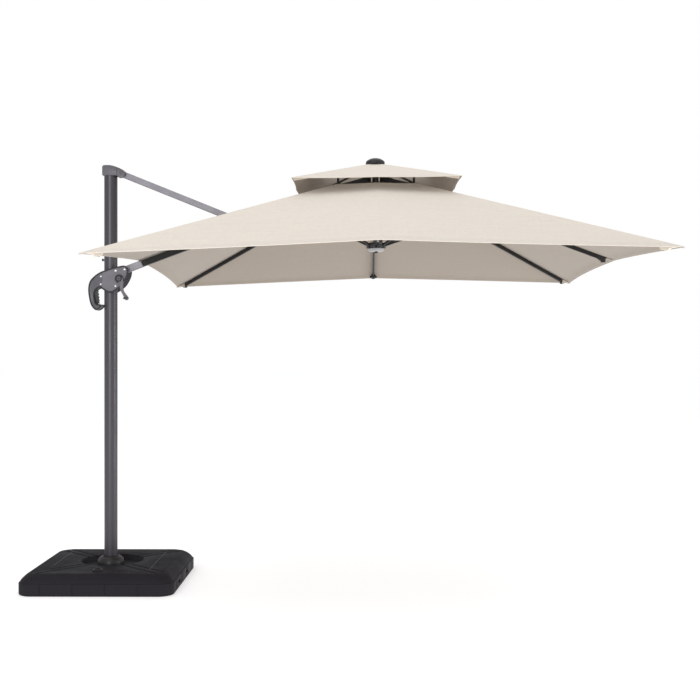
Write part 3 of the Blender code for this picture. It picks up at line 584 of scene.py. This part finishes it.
def make_top_quadrant(name, rib, azimuth):
    """The top tier's cloth round one corner rib, from mid line to mid line."""
    first, second = hip_quarters(azimuth)
    shares = [0.0, 0.12, 0.26, 0.4, 0.55, 0.7, 0.83, 0.93, 0.98, 1.0]
    columns = [(first, share) for share in shares] + [(second, -share) for share in reversed(shares[:-1])]
    rows = cloth_rows(10, TOP_BAND)
    obj = cloth_piece(name, rib, top_cloth_point, columns, rows, lambda part: row_thickness(part, TOP_BAND))
    fold_with_rib(obj)
    hip_cut(top_cloth_point, first, 0.0)
    flat_area(top_cloth_point, columns, rows)
    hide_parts("canopy_top")


def make_finial_skirt():
    """The finial's rim, which comes down to the top tier's cloth."""
    profile = [(0.0545, 2.6400), (0.0570, 2.6404), (0.0590, 2.6385), (0.0600, 2.6225), (0.0575, 2.6218),
               (0.0545, 2.6370)]
    skirt = turned_mesh("finial_skirt", profile, 64, True)
    skirt.transform(TILTED @ Matrix.Translation((CANOPY_X, 0, 0)))
    new_piece("finial_skirt", skirt, "black_plastic", "beam")


def make_canopy():
    make_finial_skirt()
    for rib, azimuth in SIDE_RIBS.items():
        make_side_sector(rib.replace("rib", "canopy"), rib, azimuth)
    make_mast_sector()
    for rib, azimuth in CORNER_RIBS.items():
        make_corner_sector(rib.replace("rib", "canopy"), rib, azimuth)
        make_top_quadrant(rib.replace("rib", "canopy_top"), rib, azimuth)


# --- rib fittings -----------------------------------------
def rib_line(corner):
    """Height of a rib's centre line over its pin, and how far the rib falls per metre out."""
    if corner:
        root = math.sqrt(2)
        fall = (VENT_CORNER_Z - HEM_CORNER_Z) / ((CANOPY_HALF - VENT_HALF) * root)
        cloth = VENT_CORNER_Z + fall * (VENT_HALF * root - RIB_RING)
    else:
        fall = (VENT_MID_Z - HEM_MID_Z) / (CANOPY_HALF - VENT_HALF)
        cloth = VENT_MID_Z + fall * (VENT_HALF - RIB_RING)
    return cloth - (RIB_HEIGHT / 2 + RIB_SPACE[corner]) * math.hypot(1, fall) - RIB_PIN_Z, fall


def rib_frame(azimuth, corner, reach):
    """Matrix with x out along the rib, y across it and z up from its centre line."""
    rise, fall = rib_line(corner)
    angle = math.radians(azimuth)
    out = Vector((math.cos(angle), math.sin(angle), -fall)).normalized()
    across = Vector((-math.sin(angle), math.cos(angle), 0.0))
    up = out.cross(across)
    spot = Vector((CANOPY_X + reach * math.cos(angle), reach * math.sin(angle),
                   RIB_PIN_Z + rise - fall * (reach - RIB_RING)))
    matrix = Matrix((out, across, up)).transposed().to_4x4()
    matrix.translation = spot
    return TILTED @ matrix


def block_mesh(name, sections, matrix):
    """A solid through rectangular sections (x, half width, low, high)."""
    bm = bmesh.new()
    rows = []
    for x, half, low, high in sections:
        rows.append([bm.verts.new(matrix @ Vector(p)) for p in
                     ((x, -half, low), (x, half, low), (x, half, high), (x, -half, high))])
    join_rings(bm, rows)
    return mesh_from(bm, name)


RIB_LOW = -RIB_HEIGHT / 2
RIB_HIGH = RIB_HEIGHT / 2
ARROW_HALF = 0.0275


def shoe_sections(rib, corner):
    """A rib's plastic shoe: short on corner ribs, arrow-shaped on the far rib, flared on the others."""
    if corner:
        return [(-0.046, RIB_HALF + 0.0010, RIB_LOW - 0.0010, RIB_HIGH + 0.0004),
                (-0.030, RIB_HALF + 0.0016, RIB_LOW - 0.0016, RIB_HIGH + 0.0004)]
    if rib == "rib_far":
        return [(-0.034, RIB_HALF + 0.0010, RIB_LOW - 0.0076, RIB_HIGH - 0.0040),
                (-0.024, ARROW_HALF - 0.0005, RIB_LOW - 0.0084, RIB_LOW + 0.0040),
                (-0.019, ARROW_HALF, RIB_LOW - 0.0086, RIB_LOW + 0.0030),
                (0.004, RIB_HALF - 0.0010, RIB_LOW - 0.0070, RIB_LOW + 0.0030)]
    return [(-0.050, RIB_HALF + 0.0010, RIB_LOW - 0.0010, RIB_HIGH + 0.0004),
            (-0.031, RIB_HALF + 0.0018, RIB_LOW - 0.0076, RIB_HIGH + 0.0004),
            (-0.003, RIB_HALF + 0.0030, RIB_LOW - 0.0080, RIB_HIGH + 0.0004),
            (0.003, RIB_HALF + 0.0016, RIB_LOW - 0.0060, RIB_HIGH - 0.0010)]


def pocket_sections(near):
    """A corner pocket over the rib's tip. On the near side it covers the whole end block."""
    start = [(-0.014, RIB_HALF + 0.0030, RIB_LOW - 0.0072, RIB_HIGH + 0.0006),
             (0.003, RIB_HALF + 0.0042, RIB_LOW - 0.0078, RIB_HIGH + 0.0006)]
    if near:
        start = [(-0.044, RIB_HALF + 0.0034, RIB_LOW - 0.0024, RIB_HIGH + 0.0006),
                 (-0.034, RIB_HALF + 0.0042, RIB_LOW - 0.0108, RIB_HIGH + 0.0006),
                 (0.003, RIB_HALF + 0.0048, RIB_LOW - 0.0108, RIB_HIGH + 0.0006)]
    return start + [(0.014, RIB_HALF + 0.0052, RIB_LOW + 0.0070, RIB_HIGH + 0.0004),
                    (0.050, RIB_HALF + 0.0065, RIB_HIGH - 0.0040, RIB_HIGH - 0.0010)]


def make_rib_end(rib, azimuth, corner):
    """The shoe on a rib's end, a corner rib's pocket, and the strap that holds the rib to the hem."""
    reach = RIB_REACH[corner]
    matrix = rib_frame(azimuth, corner, reach)
    name = f"{rib}_shoe"
    shoe = block_mesh(name, shoe_sections(rib, corner), matrix)
    rounded(new_piece(name, shoe, "black_plastic", rib), 0.0016)
    if corner:
        near = "near" in rib
        name = f"{rib}_pocket"
        pocket = block_mesh(name, pocket_sections(near), matrix)
        # Far corner pockets wear the darker webbing tone as painted shade; near ones keep the cloth's own
        # colour.
        rounded(new_piece(name, pocket, "canopy_cloth", rib, None if near else [WEBBING_AND_POCKET_SHADE]), 0.0025)
    hem = CANOPY_HALF * (math.sqrt(2) if corner else 1.0) - 0.008
    strap_end = (hem - reach) * math.hypot(1, rib_line(corner)[1])
    strap = [(-0.006, 0.011, RIB_HIGH - 0.012, RIB_HIGH - 0.0105),
             (strap_end * 0.5, 0.012, RIB_HIGH - 0.006, RIB_HIGH - 0.0045),
             (strap_end, 0.013, RIB_HIGH - 0.0017, RIB_HIGH - 0.0002)]
    name = f"{rib}_strap"
    tape = new_piece(name, block_mesh(name, strap, matrix), "canopy_cloth", rib, [WEBBING_AND_POCKET_SHADE])
    rounded(tape, 0.0004, 1)


def strut_pin(corner):
    """Reach and height of a strut's upper pin, from which both ends of the fold close exactly."""
    rise, fall = rib_line(corner)
    hang = rise - PIN_DROP * math.hypot(1, fall)
    opened = RIB_PIN_Z - RUNNER_PIN_Z
    if not corner:
        return (hang + opened / 2) / fall, -opened / 2
    reach, height = strut_pin(False)
    turn = math.radians(SIDE_FOLD)
    folded = 2 * (reach * math.sin(turn) - height * math.cos(turn))
    turn = math.radians(CORNER_FOLD)
    fixed = opened ** 2 - folded ** 2 + 2 * hang * (opened - folded * math.cos(turn))
    reach = fixed / (2 * opened * fall - 2 * folded * (math.sin(turn) + fall * math.cos(turn)))
    return reach, hang - fall * reach


def make_clevis(rib, azimuth, corner):
    """The bracket under a rib that its strut is pinned in."""
    matrix = rib_frame(azimuth, corner, strut_pin(corner)[0] + RIB_RING)
    inner = STRUT_WIDTH / 2 + 0.0006
    bm = bmesh.new()
    for side in (-1, 1):
        low, high = side * inner, side * (inner + 0.0018)
        outline = arc((0, -PIN_DROP), 0.0075, 180, 360, 10) + [(0.015, -0.0085), (-0.015, -0.0085)]
        rings = [[bm.verts.new(matrix @ Vector((x, y, z))) for x, z in outline] for y in (low, high)]
        join_rings(bm, rings)
    new_piece(f"{rib}_clevis", mesh_from(bm, f"{rib}_clevis"), "black_paint", rib)
    rivet = turned_mesh(f"{rib}_rivet", [(0, 0.0085), (0.0026, 0.0082), (0.0038, 0.0068), (0.0022, 0.0064),
                                         (0.0022, -0.0064), (0.0038, -0.0068), (0.0026, -0.0082),
                                         (0, -0.0085)], 20)
    place = matrix @ Matrix.Translation((0, 0, -PIN_DROP)) @ Matrix.Rotation(math.pi / 2, 4, "X")
    rivet.transform(place)
    new_piece(f"{rib}_rivet", rivet, "bright_steel", rib)


def make_top_pocket(rib, azimuth):
    """The corner pocket on the underside of the top tier, over the vent rib's tip."""
    first, second = hip_quarters(azimuth)
    drop = Vector((0, 0, -0.0024))
    tip = [top_cloth_point(first, 0.985, 0.985), top_cloth_point(first, 0.985, 0.83),
           top_cloth_point(first, 0.84, 0.97), top_cloth_point(second, 0.84, -0.97),
           top_cloth_point(second, 0.985, -0.83)]
    bm = bmesh.new()
    join_rings(bm, [[bm.verts.new(p + drop * depth) for p in tip] for depth in (1.8, 1.0)])
    name = rib.replace("rib", "top_pocket")
    new_piece(name, mesh_from(bm, name), "canopy_cloth", rib)


def make_rib_fittings():
    for ribs, corner in ((SIDE_RIBS, False), (CORNER_RIBS, True)):
        for rib, azimuth in ribs.items():
            make_rib_end(rib, azimuth, corner)
            make_clevis(rib, azimuth, corner)
            if corner:
                make_top_pocket(rib, azimuth)


# --- copies and carvings ----------------------------------
def carved(mesh, tools, bevel):
    """The mesh with each tool mesh cut away, and its edges rounded."""
    scene = bpy.context.scene.collection
    block = bpy.data.objects.new("carving", mesh)
    scene.objects.link(block)
    helpers = []
    for tool in tools:
        helper = bpy.data.objects.new("tool", tool)
        scene.objects.link(helper)
        helpers.append(helper)
        cut = block.modifiers.new("Cut", "BOOLEAN")
        cut.object = helper
        cut.operation = "DIFFERENCE"
        cut.solver = "EXACT"
    rounded(block, bevel).modifiers["Bevel"].harden_normals = False
    bpy.context.view_layer.update()
    done = bpy.data.meshes.new_from_object(block.evaluated_get(bpy.context.evaluated_depsgraph_get()))
    for helper in [block, *helpers]:
        bpy.data.objects.remove(helper, do_unlink=True)
    bm = bmesh.new()
    bm.from_mesh(done)
    return mesh_from(bm, mesh.name, math.radians(50), 0.00001)


def box_tool(low, high, spin):
    """A box between two corners, turned about Z by spin degrees."""
    bm = bmesh.new()
    bmesh.ops.create_cube(bm, size=1.0)
    low, high = Vector(low), Vector(high)
    bmesh.ops.scale(bm, vec=high - low, verts=bm.verts)
    bmesh.ops.translate(bm, vec=(low + high) / 2, verts=bm.verts)
    bmesh.ops.rotate(bm, matrix=Matrix.Rotation(math.radians(spin), 3, "Z"), verts=bm.verts)
    return mesh_from(bm, "tool")


def cone_tool(low_radius, high_radius, low_z, high_z, steps, centre=(0, 0)):
    bm = bmesh.new()
    bmesh.ops.create_cone(bm, cap_ends=True, segments=steps, radius1=low_radius, radius2=high_radius,
                          depth=high_z - low_z)
    bmesh.ops.translate(bm, vec=(*centre, (low_z + high_z) / 2), verts=bm.verts)
    return mesh_from(bm, "tool")


def copy_of_node(name):
    """A CAD node's mesh, welded and without the edges inside its flat faces."""
    bm = bmesh.new()
    bm.from_mesh(frame["nodes"][name].data)
    bmesh.ops.remove_doubles(bm, verts=bm.verts, dist=WELD)
    bmesh.ops.dissolve_limit(bm, angle_limit=math.radians(0.5), verts=bm.verts, edges=bm.edges)
    return bm


# --- base -------------------------------------------------
TANK_CORNER = 0.085
SHOULDER = [(0.0016, 0.0736), (0.0060, 0.0746), (0.0080, 0.0815), (0.0145, 0.0915), (0.0255, 0.1035),
            (0.0385, 0.1148), (0.0500, 0.1222), (0.0620, 0.1260)]
RECESS_RADIUS = 0.196
RECESS_FLOOR = 0.092
RECESS_XY = (0.004, 0.034)
SKIRT_JOINTS = (-0.320, -0.127, 0.066, 0.259)
SOCKET_RADIUS = 0.052
CHANNEL_Y = 0.028
CHANNEL_HALF = 0.007
CHANNEL_DEPTH = 0.013
FILLER_RADIUS = 0.0216
FILLER_XY = (-0.010, -0.315)
OVERSHOOT = 0.05


def square_ring(half, z):
    """A square outline with rounded corners, at height z."""
    points = []
    inner = half - TANK_CORNER
    for quarter in range(4):
        turn = Matrix.Rotation(math.radians(90 * quarter), 2)
        for x, y in arc((inner, inner), TANK_CORNER, 0, 90, 8):
            spot = turn @ Vector((x, y))
            points.append((spot.x, spot.y, z))
    return points


def make_tank():
    """The tank with its rounded shoulder, recess, double grooves and skirt joints."""
    half = TANK_HIGH.x
    levels = [(0.006, 0.0), (0.0015, 0.004), (0.0, 0.010), (0.0, 0.0720)] + SHOULDER
    bm = bmesh.new()
    rings = [[bm.verts.new(p) for p in square_ring(half - inset, z)] for inset, z in levels]
    join_rings(bm, rings)
    block = mesh_from(bm, "tank_shell")
    top = TANK_HIGH.z
    tools = [cone_tool(RECESS_RADIUS - 0.010, RECESS_RADIUS + 0.004, RECESS_FLOOR, top + 0.010, 64,
                       RECESS_XY),
             cone_tool(SOCKET_RADIUS, SOCKET_RADIUS, -OVERSHOOT, top, 48),
             cone_tool(FILLER_RADIUS, FILLER_RADIUS, top - 0.030, top + OVERSHOOT, 32, FILLER_XY)]
    for spin in (45, 135, 225, 315):
        for y in (-CHANNEL_Y, CHANNEL_Y):
            tools.append(box_tool((0.12, y - CHANNEL_HALF, top - CHANNEL_DEPTH),
                                  (0.535, y + CHANNEL_HALF, top + OVERSHOOT), spin))
        tools.append(box_tool((0.0, -0.024, -OVERSHOOT), (0.54, 0.024, 0.044), spin))
    outside = half + OVERSHOOT
    for spin in (0, 90, 180, 270):
        for y in SKIRT_JOINTS:
            tools.append(box_tool((half - 0.003, y - 0.0022, 0.010), (outside, y + 0.0022, 0.073), spin))
    for spin in (0, 180):
        for y in (-0.20, 0.10):
            tools.append(box_tool((half - 0.010, y - 0.032, 0.030), (outside, y + 0.032, 0.050), spin))
    mesh = carved(block, tools, 0.0018)
    tank = new_piece("tank_shell", mesh, "tank_plastic", "base_and_mast")
    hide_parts("base_tank")


def make_tank_seams():
    """Thin moulding seams that run fore and aft across the tank's top, pale as a painted highlight."""
    top = TANK_HIGH.z
    for number, (x, low, high) in enumerate(((0.295, -0.285, 0.300), (-0.320, -0.165, 0.320)), 1):
        points = [(x + 0.0015 * math.sin(9 * t), low + (high - low) * t, top + 0.0001)
                  for t in spread(0, 1, 24)]
        wire(f"tank_seam_{number}", points, 0.0014, "tank_plastic", "base_and_mast", sides=6, look=SEAM_HIGHLIGHT)


def make_filler_grip():
    """The finger bar and rim on the filler cap."""
    low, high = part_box("filler_cap")
    centre = ((low.x + high.x) / 2, (low.y + high.y) / 2)
    ring = turned_mesh("filler_rim", [(0.0215, high.z - 0.0005), (0.0255, high.z + 0.0012),
                                      (0.0285, high.z - 0.0012), (0.0285, high.z - 0.003),
                                      (0.0215, high.z - 0.003)], 40, True)
    new_piece("filler_rim", ring, "black_plastic", "filler_cap", location=(*centre, 0))
    bar = box_tool((-0.018, -0.004, high.z - 0.001), (0.018, 0.004, high.z + 0.007), 30)
    grip = new_piece("filler_grip", bar, "black_plastic", "filler_cap", location=(*centre, 0))
    rounded(grip, 0.0025, 3)


# --- mast and cap -----------------------------------------
MAST_WALL = 0.003
FLUTES = (48.6, 131.4, 228.6, 311.4)
FLUTE_HALF = 2.4
FLUTE_DEPTH = 0.0012


def make_mast():
    """The mast as an extruded tube with four shallow flutes."""
    edges = [flute + step * FLUTE_HALF for flute in FLUTES for step in (-1.0, -0.5, 0.5, 1.0)]
    turns = sorted([3.0 * i for i in range(120)] + edges)
    bm = bmesh.new()
    rings = []
    for z in (MAST_LOW.z, MAST_HIGH.z):
        outer, inner = [], []
        for turn in turns:
            away = min(abs(turn - flute) for flute in FLUTES)
            dip = FLUTE_DEPTH if away < FLUTE_HALF * 0.75 else 0.0
            angle = math.radians(turn)
            for ring, radius in ((outer, MAST_RADIUS - dip), (inner, MAST_RADIUS - MAST_WALL)):
                ring.append(bm.verts.new((radius * math.cos(angle), radius * math.sin(angle), z)))
        rings += [outer, inner]
    low_out, low_in, high_out, high_in = rings
    join_rings(bm, [low_out, high_out, high_in, low_in], closed=True)
    mast = new_piece("mast_tube", mesh_from(bm, "mast_tube", math.radians(20), 0.00001), "anthracite_paint",
                     "base_and_mast")
    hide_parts("mast")


def make_cap_details():
    """The ringed rivet on each cheek of the mast cap, and the parting line round its collar."""
    x, z = ARM_PIN_TOP
    low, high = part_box("mast_cap")
    for side, word in ((-1, "near"), (1, "far")):
        profile = [(0, 0.0040), (0.0055, 0.0036), (0.0078, 0.0018), (0.0082, 0.0006), (0.0105, 0.0004),
                   (0.0108, 0.0020), (0.0128, 0.0018), (0.0132, 0.0), (0, 0.0)]
        rivet = turned_mesh(f"cap_rivet_{word}", profile, 40)
        rivet.transform(Matrix.Rotation(-side * math.pi / 2, 4, "X"))
        new_piece(f"cap_rivet_{word}", rivet, "housing_plastic", "base_and_mast",
                  location=(x, side * (high.y + 0.0001), z))
        points = [(0.0475, side * (high.y + 0.0002), z) for z in spread(low.z + 0.002, 2.602, 12)]
        wire(f"cap_parting_{word}", points, 0.0011, "black_plastic", "base_and_mast", sides=6)


# --- handle -----------------------------------------------
def edge_loop(bm, side):
    """The longest loop of sharp edges round the outer face on one side of a housing."""
    edges = []
    for edge in bm.edges:
        if len(edge.link_faces) != 2:
            continue
        first, second = (abs(face.normal.y) for face in edge.link_faces)
        middle = (edge.verts[0].co.y + edge.verts[1].co.y) / 2
        if max(first, second) > 0.7 and min(first, second) < 0.3 and side * middle > 0.018:
            edges.append(edge)
    left = set(edges)
    best = []
    while left:
        edge = left.pop()
        chain = [edge.verts[0], edge.verts[1]]
        while True:
            nearby = [e for e in chain[-1].link_edges if e in left]
            if not nearby:
                break
            left.discard(nearby[0])
            chain.append(nearby[0].other_vert(chain[-1]))
        if len(chain) > len(best):
            best = chain
    return [vert.co.copy() for vert in best if vert is not best[0]] + [best[0].co.copy()]


def make_housing(node, side):
    """A housing half with a dark side wall and a rounded black edge round its face."""
    bm = copy_of_node(node)
    bm.normal_update()
    loop = edge_loop(bm, side)
    for face in bm.faces:
        face.material_index = 0 if abs(face.normal.y) > 0.5 else 1
    mesh = mesh_from(bm, f"{node}_shell")
    shell = new_piece(f"{node}_shell", mesh, "housing_plastic", "handle",
                      [MATERIALS["housing_plastic"], MATERIALS["black_plastic"]])
    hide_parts(node)
    wire(f"{node}_edge", loop, 0.0046, "black_plastic", "handle", closed=True)


def dog_bone(reach, lobe, waist):
    """Outline of two round lobes with a narrow waist between them."""
    right = arc((reach, 0), lobe, -130, 130, 12)
    left = arc((-reach, 0), lobe, 50, 310, 12)
    return right + [(0, waist)] + left + [(0, -waist)]


def stand_out(name, profile, steps, closed, slot, body, place):
    """A turned piece that stands out of a near-side face at (x, y, z)."""
    mesh = turned_mesh(name, profile, steps, closed)
    mesh.transform(Matrix.Rotation(math.pi / 2, 4, "X"))
    new_piece(name, mesh, slot, body, location=(place[0], place[1] - 0.0001, place[2]))


def make_crank_details():
    """The ring and bolt on the crank's hub, the boss behind it and the plug over the arm's pin."""
    x, z = CRANK_XZ
    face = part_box("crank_arm")[0].y
    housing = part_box("housing_near")[0].y
    ring = [(0.0125, 0.0), (0.0125, 0.0030), (0.0150, 0.0046), (0.0185, 0.0040), (0.0205, 0.0016),
            (0.0205, 0.0)]
    bolt = [(0, 0.0042), (0.0045, 0.0040), (0.0062, 0.0024), (0.0066, 0.0), (0, 0.0)]
    boss = [(0.0095, 0.0), (0.0095, 0.0045), (0.0250, 0.0045), (0.0275, 0.0015), (0.0275, 0.0)]
    plug = [(0, 0.0022), (0.0060, 0.0020), (0.0078, 0.0006), (0.0078, 0.0), (0, 0.0)]
    pin_x, pin_z = ARM_PIN_LOW
    stand_out("crank_ring", ring, 48, True, "black_plastic", "crank", (x, face, z))
    stand_out("crank_bolt", bolt, 6, False, "black_plastic", "crank", (x, face, z))
    stand_out("crank_boss", boss, 48, True, "black_plastic", "handle", (x, housing, z))
    stand_out("pin_plug", plug, 24, False, "housing_plastic", "handle", (pin_x, housing, pin_z))


def make_crank_grip():
    """The crank's two-lobed grip."""
    low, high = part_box("crank_knob")
    turn = math.radians(12)
    outline = [(x * math.cos(turn) - z * math.sin(turn), x * math.sin(turn) + z * math.cos(turn))
               for x, z in dog_bone(0.0088, 0.0060, 0.0040)]
    grip = plate_mesh("crank_grip", outline, low.y, high.y)
    piece = new_piece("crank_grip", grip, "black_plastic", "crank", location=(KNOB_XZ[0], 0, KNOB_XZ[1]))
    rounded(piece, 0.0022, 3, 60)
    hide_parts("crank_knob")


# --- sewn details -----------------------------------------
def make_seams():
    """Flat-felled seams over every rib on both tiers, and over the beam on both sides of the slit."""
    for rib, azimuth in {**SIDE_RIBS, **CORNER_RIBS}.items():
        corner = rib in CORNER_RIBS
        name = f"{rib}_seam"
        sew_line(name, rib, main_cloth_point, azimuth // 90, corner, spread(MAIN_BAND, 1.0, 26))
        if corner:
            name = name.replace("rib", "top_hip")
            sew_line(name, rib, top_cloth_point, azimuth // 90, corner, spread(0.04, 0.97, 10))
    for name, start, stop in (("inner", MAIN_BAND, slit_part(SLIT_OUT[0]) - 0.01),
                              ("outer", slit_part(SLIT_OUT[1]) + 0.01, 1.0)):
        sew_line(f"mast_side_seam_{name}", "beam", main_cloth_point, 2, False, spread(start, stop, 12))


SEAM_HALF = 0.0045


def sew_line(name, body, point_at, quarter, corner, parts):
    """A narrow strip just proud of the cloth's upper side, along a rib."""
    bm = bmesh.new()
    rows = []
    next_quarter = (quarter + 1) % 4
    for part in parts:
        centre = point_at(quarter, part, 1.0 if corner else 0.0)
        ahead = point_at(quarter, min(part + 0.01, 1.0), 1.0 if corner else 0.0)
        behind = point_at(quarter, max(part - 0.01, 0.0), 1.0 if corner else 0.0)
        along = (ahead - behind).normalized()
        sides = []
        for sign in (-1, 1):
            if corner:
                toward = point_at(quarter if sign < 0 else next_quarter, part, 0.97 if sign < 0 else -0.97)
            else:
                toward = point_at(quarter, part, sign * 0.03)
            step = toward - centre
            step = (step - along * step.dot(along)).normalized() * SEAM_HALF
            normal = along.cross(step).normalized()
            if normal.z < 0:
                normal = -normal
            sides.append((centre + step, normal))
        up = (sides[0][1] + sides[1][1]).normalized()
        (left, left_up), (right, right_up) = sides
        lift, base = HEM_CLOTH * 0.5 + 0.0012, CLOTH * 0.4
        rows.append([bm.verts.new(p) for p in (
            left + left_up * base, left + left_up * (lift * 0.8), centre + up * lift,
            right + right_up * (lift * 0.8), right + right_up * base)])
    join_rings(bm, rows)
    new_piece(name, mesh_from(bm, name, math.radians(50)), "canopy_cloth", body)


def make_slit_binding():
    """The bound edge of the slit that the upper arm comes through."""
    near_vent, near_hem = (slit_part(out) for out in SLIT_OUT)
    around = [(near_vent, -SLIT_SHARE), (near_vent, SLIT_SHARE),
              (near_hem, SLIT_SHARE), (near_hem, -SLIT_SHARE)]
    points = []
    for (p0, s0), (p1, s1) in zip(around, around[1:] + around[:1]):
        for t in spread(0, 1, 9)[:-1]:
            spot = main_cloth_point(2, p0 + (p1 - p0) * t, s0 + (s1 - s0) * t)
            points.append(tuple(spot + Vector((0, 0, CLOTH / 2))))
    wire("slit_binding", points, 0.0026, "canopy_cloth", "beam", closed=True)


# --- floor, light and camera ------------------------------
ROOM_LIGHT = 0.60
FLOOR_GLOW = 0.52
LAMPS = {  # place, aim, size and watts
    "key": ((-0.9, -7.6, 2.6), (0.2, 0, 1.6), (1.1, 3.6), 120),
    "fill": ((8.5, -1.0, 1.2), (0.0, 0, 1.4), (2.2, 2.4), 95),
    "top": ((1.6, -0.6, 8.5), (1.6, 0, 0.0), (9.0, 9.0), 150),
    "back": ((1.6, 5.5, 7.5), (1.6, 0, 1.2), (8.0, 3.0), 45),
}
CAMERA_LENS = 57.04
CAMERA_PLACE = (1.5631, -6.9865, 1.4635)
CAMERA_TURN = (math.pi / 2 - 0.0012, 0.0, 0.0078)


def make_floor():
    bm = bmesh.new()
    bmesh.ops.create_circle(bm, cap_ends=True, segments=64, radius=60.0)
    mesh = bpy.data.meshes.new("floor")
    bm.to_mesh(mesh)
    bm.free()
    floor = bpy.data.objects.new("floor", mesh)
    bpy.context.scene.collection.objects.link(floor)
    floor.location.z = -0.0005
    paint = Paint("floor", (0.80, 0.80, 0.80), 0.9)
    paint.use(Emission_Color=(1.0, 1.0, 1.0, 1.0), Emission_Strength=FLOOR_GLOW)
    mesh.materials.append(paint.material)


def area_light(name, place, aim, size, power):
    data = bpy.data.lights.new(name, "AREA")
    data.shape = "RECTANGLE"
    data.size, data.size_y = size
    data.energy = power
    light = bpy.data.objects.new(name, data)
    bpy.context.scene.collection.objects.link(light)
    light.location = place
    light.rotation_euler = (Vector(aim) - Vector(place)).to_track_quat("-Z", "Y").to_euler()


def make_light():
    """A white backdrop for the camera, a dimmer even room, and large soft lamps."""
    world = bpy.data.worlds.new("studio")
    bpy.context.scene.world = world
    world.use_nodes = True
    tree = world.node_tree
    room = tree.nodes["Background"]
    room.inputs["Color"].default_value = (0.97, 0.98, 1.0, 1.0)
    room.inputs["Strength"].default_value = ROOM_LIGHT
    backdrop = tree.nodes.new("ShaderNodeBackground")
    backdrop.inputs["Color"].default_value = (1.0, 1.0, 1.0, 1.0)
    seen = tree.nodes.new("ShaderNodeLightPath").outputs["Is Camera Ray"]
    mix = tree.nodes.new("ShaderNodeMixShader")
    tree.links.new(seen, mix.inputs["Fac"])
    tree.links.new(room.outputs["Background"], mix.inputs[1])
    tree.links.new(backdrop.outputs["Background"], mix.inputs[2])
    tree.links.new(mix.outputs["Shader"], tree.nodes["World Output"].inputs["Surface"])
    for name, lamp in LAMPS.items():
        area_light(name, *lamp)
    bpy.context.scene.view_settings.view_transform = "Standard"


def make_camera():
    data = bpy.data.cameras.new("camera")
    data.sensor_width = 36.0
    data.lens = CAMERA_LENS
    camera = bpy.data.objects.new("camera", data)
    bpy.context.scene.collection.objects.link(camera)
    camera.location = CAMERA_PLACE
    camera.rotation_euler = CAMERA_TURN
    bpy.context.scene.camera = camera


dress_cad_nodes()
make_canopy()
make_rib_fittings()
make_tank()
make_tank_seams()
make_filler_grip()
make_mast()
make_cap_details()
make_housing("housing_near", -1)
make_housing("housing_far", 1)
make_crank_details()
make_crank_grip()
make_seams()
make_slit_binding()
make_floor()
make_light()
make_camera()
